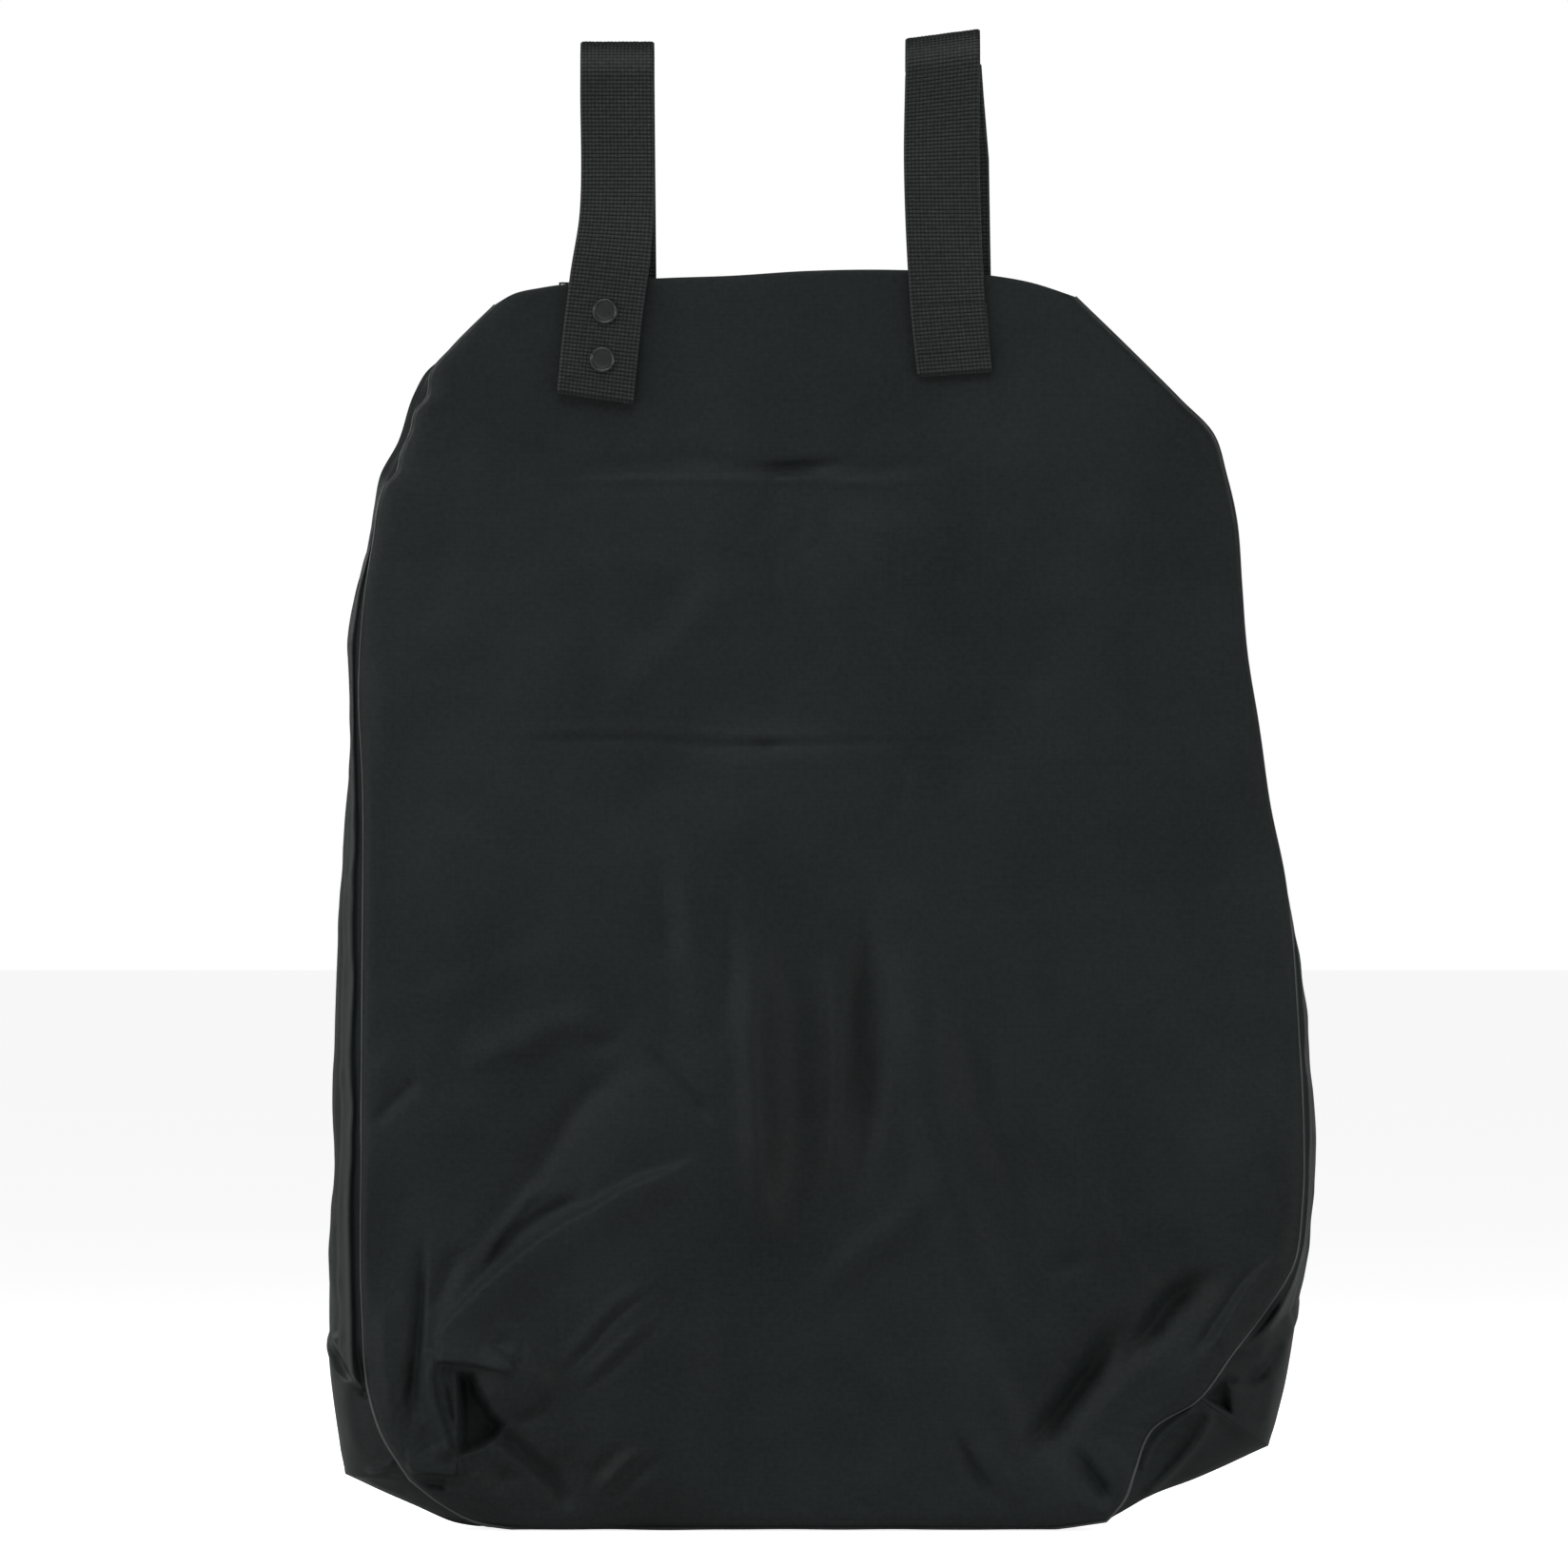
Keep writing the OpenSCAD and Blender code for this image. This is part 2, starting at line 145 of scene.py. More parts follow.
def curve(points, count, spacing=None):
    """A smooth curve through points, at count places that are even along it or follow spacing."""
    p = np.array(points, float)
    d = distances(p)
    tangent = np.gradient(p, d, axis=0)
    share = np.linspace(0, 1, count) if spacing is None else spacing
    t = share * d[-1]
    i = np.clip(np.searchsorted(d, t, side="right") - 1, 0, len(d) - 2)
    h = (d[i + 1] - d[i])[:, None]
    s = (t - d[i])[:, None] / h
    return ((2 * s**3 - 3 * s**2 + 1) * p[i] + (s**3 - 2 * s**2 + s) * h * tangent[i]
            + (3 * s**2 - 2 * s**3) * p[i + 1] + (s**3 - s**2) * h * tangent[i + 1])


def smoothstep(t):
    t = np.clip(t, 0, 1)
    return t * t * (3 - 2 * t)


DEPTH_LINE = curve(DEPTH, 400)


def half_depth(z):
    return np.interp(z, DEPTH_LINE[:, 0], DEPTH_LINE[:, 1])


def lattice_noise(x, z, cell, seed):
    """Smooth noise from -1 to 1 whose features are about one cell wide."""
    rng = np.random.default_rng(SEED * 1000 + seed)
    size = 64
    values = rng.uniform(-1, 1, (size, size))
    gx, gz = x / cell + 20.5, z / cell + 20.5
    ix, iz = np.floor(gx).astype(int), np.floor(gz).astype(int)
    fx, fz = smoothstep(gx - ix), smoothstep(gz - iz)

    def at(a, b):
        return values[(ix + a) % size, (iz + b) % size]

    low = at(0, 0) * (1 - fx) + at(1, 0) * fx
    high = at(0, 1) * (1 - fx) + at(1, 1) * fx
    return low * (1 - fz) + high * fz


def stroke(x, z, path, width, height, other_width=None, fade=0.25):
    """A ridge (height > 0) or valley along a smooth path, that dies away at both ends.

    Its flank on the left of the path is width wide, the one on the right other_width.
    """
    other_width = other_width or width
    line = curve(path, 6 * len(path))
    reach = 3 * max(width, other_width)
    low, high = line.min(axis=0) - reach, line.max(axis=0) + reach
    near = (x > low[0]) & (x < high[0]) & (z > low[1]) & (z < high[1])
    px, pz = x[near], z[near]
    best, along, side = np.full(px.shape, 1e9), np.zeros(px.shape), np.zeros(px.shape)
    start = 0
    for a, b in zip(line[:-1], line[1:]):
        step = b - a
        length = np.hypot(*step)
        t = np.clip(((px - a[0]) * step[0] + (pz - a[1]) * step[1]) / length**2, 0, 1)
        dx, dz = px - a[0] - t * step[0], pz - a[1] - t * step[1]
        d = np.hypot(dx, dz)
        closer = d < best
        best = np.where(closer, d, best)
        along = np.where(closer, start + t * length, along)
        side = np.where(closer, step[0] * dz - step[1] * dx, side)
        start += length
    share = along / start
    ends = smoothstep(share / fade) * smoothstep((1 - share) / fade) if fade else 1
    flank = np.where(side > 0, width, other_width)
    result = np.zeros(x.shape)
    result[near] = height * np.exp(-(best / flank) ** 2) * ends
    return result


def strokes(x, z, lines, fade=0.25):
    """Several strokes that fade alike; each is (path, width, height), or with an other_width too."""
    return sum(stroke(x, z, *line, fade=fade) for line in lines)


def bump(x, z, centre, radii, height, angle=0, steep=1):
    """A rounded rise (height > 0) or hollow with two radii; a steep one has a flat middle."""
    c, s = math.cos(math.radians(angle)), math.sin(math.radians(angle))
    dx, dz = x - centre[0], z - centre[1]
    a, b = dx * c + dz * s, dz * c - dx * s
    return height * np.exp(-((a / radii[0]) ** 2 + (b / radii[1]) ** 2) ** steep)


def pit(x, z, outline, depth, wall):
    """A hollow inside a closed outline, whose walls reach the full depth after wall mm."""
    corners = np.array(outline, float)
    inside = np.zeros(x.shape, bool)
    nearest = np.full(x.shape, 1e9)
    for a, b in zip(corners, np.roll(corners, -1, axis=0)):
        step = b - a
        t = np.clip(((x - a[0]) * step[0] + (z - a[1]) * step[1]) / (step @ step), 0, 1)
        nearest = np.minimum(nearest, np.hypot(x - a[0] - t * step[0], z - a[1] - t * step[1]))
        spans = (a[1] > z) != (b[1] > z)
        if step[1] != 0:
            inside ^= spans & (x < a[0] + (z - a[1]) * step[0] / step[1])
    return -depth * smoothstep(nearest / wall) * inside


# ---- meshes ----


def make_object(name, verts_mm, faces, material, uv_mm=None, smooth=True):
    """A mesh object from points in millimetres; uv_mm holds fabric coordinates for each point."""
    mesh = bpy.data.meshes.new(name)
    verts = np.asarray(verts_mm, float).reshape(-1, 3) * MM
    mesh.from_pydata(verts.tolist(), [], [list(face) for face in faces])
    if uv_mm is not None:
        layer = mesh.uv_layers.new(name="grain")
        corner = np.zeros(len(mesh.loops), np.int64)
        mesh.loops.foreach_get("vertex_index", corner)
        layer.data.foreach_set("uv", np.asarray(uv_mm, np.float32).reshape(-1, 2)[corner].ravel())
    mesh.polygons.foreach_set("use_smooth", [smooth] * len(mesh.polygons))
    mesh.materials.append(material)
    mesh.update()
    obj = bpy.data.objects.new(name, mesh)
    bpy.context.scene.collection.objects.link(obj)
    return obj


def grid_faces(rows, columns, flip=False, wrap=False):
    """Quads between the points of a grid; wrap closes the columns into a ring."""
    i = np.arange(rows * columns).reshape(rows, columns)
    if wrap:
        i = np.concatenate([i, i[:, :1]], axis=1)
    quads = np.stack([i[:-1, :-1], i[:-1, 1:], i[1:, 1:], i[1:, :-1]], axis=-1).reshape(-1, 4)
    return quads[:, ::-1] if flip else quads


def install(obj, slot, body, *nodes):
    """Hides the CAD nodes that a piece stands for and hangs the piece on its body. The slot is not used."""
    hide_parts(*nodes)
    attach(obj, body)


def thicken(obj, thickness):
    """Gives a sheet its thickness, on its inner side."""
    solid = obj.modifiers.new("thickness", "SOLIDIFY")
    solid.thickness = thickness * MM
    solid.offset = -1
    return obj


def tube(line, radius, sides, across):
    """Rings of points around a line, and their angles from the direction square to line and across."""
    tangent = unit(np.gradient(line, axis=0))
    side = unit(np.cross(tangent, across))
    up = np.cross(side, tangent)
    turn = np.arange(sides) * 2 * math.pi / sides
    ring = side[:, None] * np.cos(turn)[None, :, None] + up[:, None] * np.sin(turn)[None, :, None]
    return line[:, None] + ring * radius, turn


def coons(left, right, bottom, top, u, v):
    """Points of a patch between four boundary curves, as rows from the bottom to the top."""
    u = u[None, :, None]
    v = v[:, None, None]
    corners = ((1 - u) * (1 - v) * left[0] + u * (1 - v) * right[0]
               + (1 - u) * v * left[-1] + u * v * right[-1])
    return ((1 - v) * bottom[None] + v * top[None]
            + (1 - u) * left[:, None] + u * right[:, None] - corners)


# ---- materials ----


class MaterialTree:
    """A new material, with short ways to add nodes and to feed its shader."""

    def __init__(self, name):
        self.material = bpy.data.materials.new(name)
        self.material.use_nodes = True
        self.nodes = self.material.node_tree.nodes
        self.links = self.material.node_tree.links

    def plug(self, socket, value):
        """Links a socket to another node's output, or gives it a plain value."""
        if isinstance(value, bpy.types.NodeSocket):
            self.links.new(value, socket)
        else:
            socket.default_value = value

    def feed(self, node, **inputs):
        """Plugs in a node's inputs, whose names are written with _ for a space."""
        for key, value in inputs.items():
            self.plug(node.inputs[key.replace("_", " ")], value)
        return node

    def add(self, kind, **inputs):
        return self.feed(self.nodes.new(kind), **inputs)

    def calc(self, operation, a, b=0.0):
        """The output of a node that works out operation from a and b."""
        node = self.add("ShaderNodeMath")
        node.operation = operation
        self.plug(node.inputs[0], a)
        self.plug(node.inputs[1], b)
        return node.outputs[0]

    def noise(self, **inputs):
        """Noise from 0 to 1 that is fixed to the object."""
        place = self.add("ShaderNodeTexCoord")
        return self.add("ShaderNodeTexNoise", Vector=place.outputs["Object"], **inputs).outputs["Fac"]

    def ramp(self, factor, dark, light):
        """A colour that goes from dark to light with factor."""
        node = self.add("ShaderNodeValToRGB", Fac=factor)
        for element, position, colour in zip(node.color_ramp.elements, (0.3, 0.7), (dark, light)):
            element.position = position
            element.color = (*colour, 1)
        return node.outputs["Color"]

    def around(self, middle, spread, factor):
        """A value spread evenly about middle as factor goes from 0 to 1."""
        return self.calc("ADD", self.calc("MULTIPLY", factor, spread), middle - spread / 2)

    def finish(self, **inputs):
        """Feeds the shader and returns the material."""
        self.feed(self.nodes["Principled BSDF"], **inputs)
        return self.material


def grain_in_mm(tree, from_uv):
    """Fabric coordinates in mm: the mesh's own, or for flat upright or level pieces X and Y + Z."""
    if from_uv:
        grain = tree.add("ShaderNodeUVMap")
        grain.uv_map = "grain"
        return grain.outputs["UV"]
    place = tree.add("ShaderNodeTexCoord")
    split = tree.add("ShaderNodeSeparateXYZ", Vector=place.outputs["Object"])
    joined = tree.add("ShaderNodeCombineXYZ")
    tree.feed(joined, X=tree.calc("MULTIPLY", split.outputs["X"], 1 / MM))
    level = tree.calc("ADD", split.outputs["Y"], split.outputs["Z"])
    tree.feed(joined, Y=tree.calc("MULTIPLY", level, 1 / MM))
    return joined.outputs[0]


def woven_material(name, dark, light, pitch, gap, roughness, specular, weave_bump, coarse_bump,
                   from_uv=True):
    """Woven cloth: raised floats at the given pitch in mm (across, along), with painted shade darkening the
    gaps between them.
    """
    tree = MaterialTree(name)
    grain = grain_in_mm(tree, from_uv)
    split = tree.add("ShaderNodeSeparateXYZ", Vector=grain)
    waves = []
    for axis, size in zip(("X", "Y"), pitch):
        turned = tree.calc("MULTIPLY", split.outputs[axis], math.pi / size)
        waves.append(tree.calc("ABSOLUTE", tree.calc("SINE", turned)))
    weave = tree.calc("MULTIPLY", waves[0], 0.7)
    weave = tree.calc("MULTIPLY", tree.calc("ADD", weave, 0.3), waves[1])

    patchy = tree.noise(Scale=9.0, Detail=5.0, Roughness=0.6)
    slub = tree.add("ShaderNodeTexNoise", Vector=grain, Scale=0.4, Detail=4.0, Roughness=0.8)
    threads = slub.outputs["Fac"]
    shade = tree.calc("ADD", tree.calc("MULTIPLY", threads, 0.6), tree.calc("MULTIPLY", patchy, 0.4))
    cloth = tree.ramp(shade, dark, light)
    # Painted shade: the cloth colour is multiplied by the weave's height, by the share gap, so it darkens
    # between the floats.
    shadow = tree.add("ShaderNodeMix")
    shadow.data_type = "RGBA"
    shadow.blend_type = "MULTIPLY"
    tree.feed(shadow, Factor=gap, A=cloth, B=weave)
    rough = tree.around(roughness, 0.25, patchy)
    fine = tree.add("ShaderNodeBump", Strength=weave_bump, Distance=0.12 * MM, Height=weave)
    slubs = tree.add("ShaderNodeBump", Strength=coarse_bump, Distance=0.35 * MM, Height=threads,
                     Normal=fine.outputs["Normal"])
    return tree.finish(Base_Color=shadow.outputs["Result"], Roughness=rough,
                       Normal=slubs.outputs["Normal"], Specular_IOR_Level=specular)


def solid_material(name, dark, light, roughness, metallic=0.0, specular=0.5, scale=400.0, depth=0.05):
    """Metal, plastic or sand: mottled colour and roughness, with a fine surface grain."""
    tree = MaterialTree(name)
    grit = tree.noise(Scale=scale, Detail=6.0, Roughness=0.6)
    colour = tree.ramp(grit, dark, light)
    rough = tree.around(roughness, 0.2, grit)
    fine = tree.add("ShaderNodeBump", Strength=0.4, Distance=depth * MM, Height=grit)
    return tree.finish(Base_Color=colour, Roughness=rough, Normal=fine.outputs["Normal"],
                       Metallic=metallic, Specular_IOR_Level=specular)


# gap is how strongly painted shade darkens the gaps between the floats.
CLOTH = dict(dark=(0.0044, 0.0056, 0.0056), light=(0.0142, 0.0172, 0.0170), pitch=(0.6, 0.6), gap=0.5,
             roughness=0.60, specular=0.06, weave_bump=0.30, coarse_bump=0.15)
NYLON = woven_material("nylon", **CLOTH)
PLAIN_NYLON = woven_material("plain_nylon", from_uv=False, **CLOTH)
# Painted highlight: the turned seam edge gets a lighter copy of the nylon so that it shows as a bright line.
SEAM_HIGHLIGHT_NYLON = woven_material("edge_nylon_painted_highlight", **{**CLOTH, "light": (0.026, 0.030, 0.030), "specular": 0.4,
                                             "roughness": 0.42})
WEBBING = woven_material("webbing", (0.0030, 0.0037, 0.0035), (0.0260, 0.0306, 0.0288),
                         pitch=(1.9, 1.95), gap=1.0, roughness=0.55, specular=0.10,
                         weave_bump=0.60, coarse_bump=0.40)
THREAD = woven_material("thread", (0.006, 0.007, 0.007), (0.014, 0.016, 0.015),
                        pitch=(0.4, 0.4), gap=0.3, roughness=0.6, specular=0.1,
                        weave_bump=0.2, coarse_bump=0.2, from_uv=False)
SNAP_ENAMEL = solid_material("snap_enamel", (0.010, 0.012, 0.011), (0.015, 0.017, 0.016),
                             roughness=0.22, specular=0.22, scale=900, depth=0.01)
SNAP_STEEL = solid_material("snap_steel", (0.30, 0.30, 0.29), (0.42, 0.42, 0.41),
                            roughness=0.32, metallic=1.0, scale=700, depth=0.01)
ZIP_METAL = solid_material("zip_metal", (0.010, 0.011, 0.011), (0.022, 0.023, 0.023),
                           roughness=0.38, metallic=0.6, scale=600, depth=0.02)
COIL_NYLON = solid_material("coil_nylon", (0.008, 0.009, 0.009), (0.014, 0.015, 0.015),
                            roughness=0.42, specular=0.35, scale=800, depth=0.02)
LINER_FILM = solid_material("liner_film", (0.24, 0.25, 0.26), (0.32, 0.33, 0.34),
                            roughness=0.45, specular=0.4, scale=60, depth=0.4)
TIE_NYLON = solid_material("tie_nylon", (0.72, 0.72, 0.69), (0.82, 0.82, 0.79), roughness=0.4,
                           scale=300, depth=0.05)
SAND = solid_material("sand", (0.34, 0.24, 0.13), (0.55, 0.42, 0.25), roughness=0.9, specular=0.2,
                      scale=1500, depth=0.4)

NODE_MATERIALS = {
    "strap_patches": PLAIN_NYLON, "zip_tape_front": PLAIN_NYLON, "zip_tape_rear": PLAIN_NYLON,
    "snap_sockets": SNAP_STEEL, "snap_studs": SNAP_STEEL, "snap_posts": SNAP_STEEL,
    "zip_stops": ZIP_METAL, "zip_slider": ZIP_METAL, "zip_pull": ZIP_METAL,
    "sand_liner_left": LINER_FILM, "sand_liner_right": LINER_FILM, "liner_ties": TIE_NYLON,
    "sand_fill_left": SAND, "sand_fill_right": SAND,
}


def dress_cad_nodes():
    """Gives each CAD node that stays its finished material."""
    for name, material in NODE_MATERIALS.items():
        slots = frame["nodes"][name].data.materials
        slots.clear()
        slots.append(material)


# ---- bag shell ----

COLUMNS = 420
ROWS = 580
FOLD_DEPTH = 1.4
RELIEF_LIMIT = 11.0


def crowded(count, strength=0.1):
    """Shares from 0 to 1 that lie closer together near both ends."""
    t = np.linspace(0, 1, count)
    return t - strength * np.sin(2 * math.pi * t)


U = crowded(COLUMNS)
V = crowded(ROWS)


def panel_patch(left, right, bottom, top):
    """Flat panel points in X and Z, and each point's distance in mm from each of the four edges."""
    patch = coons(curve(left, ROWS, V), curve(right, ROWS, V),
                  curve(bottom, COLUMNS, U), curve(top, COLUMNS, U), U, V)
    x, z = patch[..., 0], np.maximum(patch[..., 1], SOLE)
    width = (x[:, -1] - x[:, 0])[:, None]
    height = (z[-1] - z[0])[None]
    edges = {
        "left": U[None] * width, "right": (1 - U[None]) * width,
        "bottom": V[:, None] * height, "top": (1 - V[:, None]) * height,
    }
    return x, z, edges


def seam_roll(edges, seed):
    """How far a panel turns inwards at its seams, with the puckers beside them."""
    side = np.minimum(edges["left"], edges["right"])
    seam = np.minimum(side, edges["bottom"])
    broad = 1.5 + 2.6 * smoothstep((edges["bottom"] - 400) / 100)
    roll = 3.6 * np.exp(-seam / 1.9) + broad * np.exp(-side / 6.5)
    roll += 0.8 * np.exp(-edges["top"] / 1.5)
    roll += 5.0 * np.exp(-edges["bottom"] / 6.0) * smoothstep(side / 40)
    along = edges["bottom"] + edges["left"] * 0.7
    pucker = lattice_noise(along, seam * 0.4, 13, seed)
    pucker += 0.45 * lattice_noise(along, seam * 0.3, 5.5, seed + 1)
    return roll + 0.6 * pucker * np.exp(-seam / 15)


def front_relief(x, z):
    """Outward relief of the front panel, in mm: soft waves, packing creases and the folds below."""
    r = 2.6 * lattice_noise(x, z, 105, 1) + 2.6 * lattice_noise(x, z * 0.8, 45, 2)
    r += bump(x, z, (12, 335), (80, 75), 5.5) + bump(x, z, (8, 125), (75, 60), -6.0)
    low = smoothstep((420 - z) / 300)
    r += low * (1.3 * lattice_noise(x, z * 0.35, 26, 3) + 1.6 * lattice_noise(x, z * 0.5, 70, 4))
    r += 0.55 * lattice_noise(x, z, 17, 5) + 0.12 * lattice_noise(x, z, 7, 6)
    r += packing_creases(x, z) + FOLD_DEPTH * (hanging_folds(x, z) + left_folds(x, z))
    r += left_corner_pocket(x, z) + right_corner_folds(x, z) + fine_wrinkles(x, z)
    soft = RELIEF_LIMIT / 3
    excess = np.maximum(r - 2 * soft, 0)
    return np.minimum(r, 2 * soft) + soft * np.tanh(excess / soft)


def fine_wrinkles(x, z):
    """Small wrinkles that fan out of both lower corners."""
    r = np.zeros(x.shape)
    for centre, side, seed in (((-215, 20), 1, 21), ((240, 35), -1, 22)):
        dx, dz = side * (x - centre[0]), z - centre[1]
        away = np.hypot(dx, dz)
        weight = smoothstep((away - 25) / 60) * np.exp(-away / 110)
        r += 1.1 * weight * lattice_noise(np.arctan2(dz, dx) * 150, away * 0.10, 9, seed)
    return r


def packing_creases(x, z):
    """Faint fold lines left from packing: two across and one down the middle."""
    r = strokes(x, z, [
        ([(-128, 528), (-40, 529), (68, 527)], 1.6, 0.75, 2.6),
        ([(-118, 535), (-40, 536), (60, 534)], 5, -0.8),
        ([(-12, 520), (-14, 505), (-22, 498)], 4, -0.9),
        ([(10, 520), (14, 508), (10, 494)], 4, 0.8),
        ([(-150, 396), (-90, 398.5), (-20, 395), (40, 397), (104, 396)], 1.3, -0.9, 3.2),
        ([(-150, 400), (-90, 402.5), (-20, 399), (40, 401)], 3.4, 0.9, 1.6),
        ([(-6, 630), (-5, 560), (-7, 480), (-6, 394)], 5, -0.8),
        ([(4, 505), (22, 474), (44, 438), (70, 412)], 9, 2.0),
        ([(-24, 490), (-48, 456), (-74, 428), (-98, 410)], 10, 2.0),
        ([(62, 398), (58, 375), (50, 350)], 4, -1.1),
        ([(-62, 392), (-30, 382), (0, 388), (40, 384)], 6, 0.7),
    ])
    r += bump(x, z, (3, 535), (19, 3.2), -4.6, angle=4)
    r += bump(x, z, (-46, 540), (20, 4), -0.9, angle=-8)
    r += bump(x, z, (50, 534), (18, 4), -1.0, angle=6)
    r += bump(x, z, (-10.5, 395.5), (8, 2.2), -2.2)
    r += bump(x, z, (-12, 412), (34, 9), -0.9)
    r += bump(x, z, (-28, 446), (26, 22), 2.0, angle=20)
    return r


def hanging_folds(x, z):
    """Long soft folds down the lower half."""
    r = strokes(x, z, [
        ([(-18, 318), (-17, 230), (-12, 135)], 9, 4.0, 7),
        ([(22, 300), (24, 230), (20, 150)], 5, 2.2),
        ([(38, 326), (40, 250), (36, 160)], 8, -6.0),
    ], fade=0.35)
    r += strokes(x, z, [
        ([(4, 335), (5, 250), (6, 130)], 17, -6.0, 15),
        ([(78, 180), (54, 152), (30, 132), (10, 104)], 9, 2.6),
        ([(84, 270), (100, 212), (118, 166), (132, 134)], 10, -3.4),
        ([(-54, 380), (-48, 300), (-42, 220)], 9, 1.4),
        ([(-64, 345), (-60, 275)], 8, -1.8),
        ([(-28, 345), (-31, 290), (-34, 230)], 6, -1.2),
        ([(96, 340), (110, 270), (134, 190)], 12, 1.8),
        ([(140, 340), (160, 250), (174, 170)], 16, 2.2),
        ([(190, 310), (208, 240), (216, 180)], 13, -2.0),
        ([(148, 196), (158, 150), (160, 118)], 8, 1.8),
        ([(12, 118), (30, 92), (66, 50)], 11, 1.8),
        ([(-28, 160), (-34, 100), (-24, 40)], 14, -2.2),
        ([(82, 110), (106, 66), (128, 18)], 8, 2.2),
    ], fade=0.4)
    r += stroke(x, z, [(60, 330), (68, 250), (78, 176), (100, 128), (130, 76)], 12, 4.4, fade=0.3)
    r += bump(x, z, (142, 134), (12, 6), -1.3, angle=10)
    return r


def left_folds(x, z):
    """Folds that fan out up and right from the lower left corner."""
    main = [(-178, 84), (-174.6, 97), (-163, 112), (-138, 135), (-117.8, 150), (-97.6, 161.5),
            (-77.4, 173), (-57, 180.5), (-37, 190.6)]
    r = stroke(x, z, main, 3.2, 4.2, 15, fade=0.2)
    r += strokes(x, z, [
        ([(-157, 127), (-148, 145), (-138, 158), (-128, 169), (-118, 172)], 6, 2.0, 2.6),
        ([(-154, 130), (-135, 150), (-118, 161), (-100, 169)], 4, -2.4),
        ([(-164, 122), (-150, 147), (-140, 163), (-128, 180), (-118, 196), (-103, 216), (-87, 229),
          (-71, 242)], 7.5, -2.8),
        ([(-73, 245), (-55, 226), (-36, 204)], 2.8, -2.2, 4.5),
        ([(-210, 203), (-197, 217), (-184, 229)], 4.0, -2.0),
        ([(-170, 232), (-138, 243.6), (-103, 255), (-84, 248)], 9, 2.4, 7),
        ([(-196, 262), (-160, 275), (-110, 292)], 9, 1.2),
    ])
    r += strokes(x, z, [
        ([(-121, 77), (-104, 95), (-87.5, 113), (-60, 131)], 5, 1.2, 2),
        ([(-121, 71), (-103, 89.5), (-87.5, 107), (-58, 127)], 2.2, -1.0),
        ([(-116, 58), (-87.5, 84), (-64, 108), (-48, 142)], 3.6, -1.1),
        ([(-112, 66), (-84, 93), (-56, 116)], 3.2, 1.3),
        ([(-104, 18), (-93, 34), (-78, 47)], 2.8, -1.0, 4),
        ([(-96, 17), (-84, 32), (-70, 44)], 3.2, 1.3, 2),
        ([(-90, 13), (-75, 28), (-58, 42)], 2.6, -1.0, 4),
    ], fade=0.4)
    r += bump(x, z, (-84, 204), (34, 20), 1.8, angle=40)
    r += bump(x, z, (-172, 200), (27, 23), 3.4)
    r += bump(x, z, (-204, 232), (9, 9), 1.4)
    r += bump(x, z, (-94, 245), (8, 5), -1.4, angle=30)
    return r


def left_corner_pocket(x, z):
    """The doubled-over cloth of the lower left corner: tube, flap and lobe around a deep pocket."""
    groove = [(-183, 156), (-184.7, 120), (-186, 96), (-187.5, 74), (-191, 44)]
    tube_ridge = [(-177.5, 92), (-179.5, 78), (-176.5, 60), (-171.5, 46), (-170, 34)]
    mouth = [(-168, 82), (-157, 81), (-153, 71), (-147, 61), (-140, 54), (-145, 46), (-154, 40),
             (-167, 36)]
    r = strokes(x, z, [
        (groove, 2.6, -5.4, 4.4),
        ([(-162, 148), (-172, 126), (-182, 102)], 5.0, -2.8),
    ], fade=0.35)
    r += strokes(x, z, [
        ([(-204, 118), (-202, 84), (-195, 50)], 6, 2.4),
        ([(-173, 76), (-171, 64), (-168.5, 52)], 1.8, -1.6),
        ([(-150, 105), (-136, 99), (-126, 84), (-127, 70)], 3, 1.6),
        ([(-150, 96), (-140, 90), (-133, 80)], 3.4, -2.0),
        ([(-156, 52), (-143, 47), (-130, 36), (-116, 22), (-110, 6)], 5, -5.0, 4.5),
        ([(-140, 66), (-128, 50), (-112, 34)], 8, 1.5),
        ([(-189, 24), (-180, 24), (-169, 23)], 3, -3.0),
        ([(-160, 32), (-152, 20), (-140, 10)], 6, 1.8),
    ])
    r += stroke(x, z, tube_ridge, 2.8, 7.0, 5.5, fade=0.15)
    r += strokes(x, z, [
        ([(-178, 86), (-168, 85.5), (-156, 84), (-136, 79.5)], 11, 5.0, 1.1),
        ([(-193, 30), (-180, 30), (-165, 28.5)], 9, 4.5, 1.0),
    ], fade=0.12)
    r += stroke(x, z, [(-146, 62), (-137, 56), (-124, 61), (-117, 74)], 3.4, -2.2, fade=0.4)
    r += bump(x, z, (-137, 77), (15, 16), 6.0, angle=-20, steep=1.5)
    r += pit(x, z, mouth, depth=13.5, wall=7)
    r += bump(x, z, (-143, 27), (7, 6), -2.6)
    return r


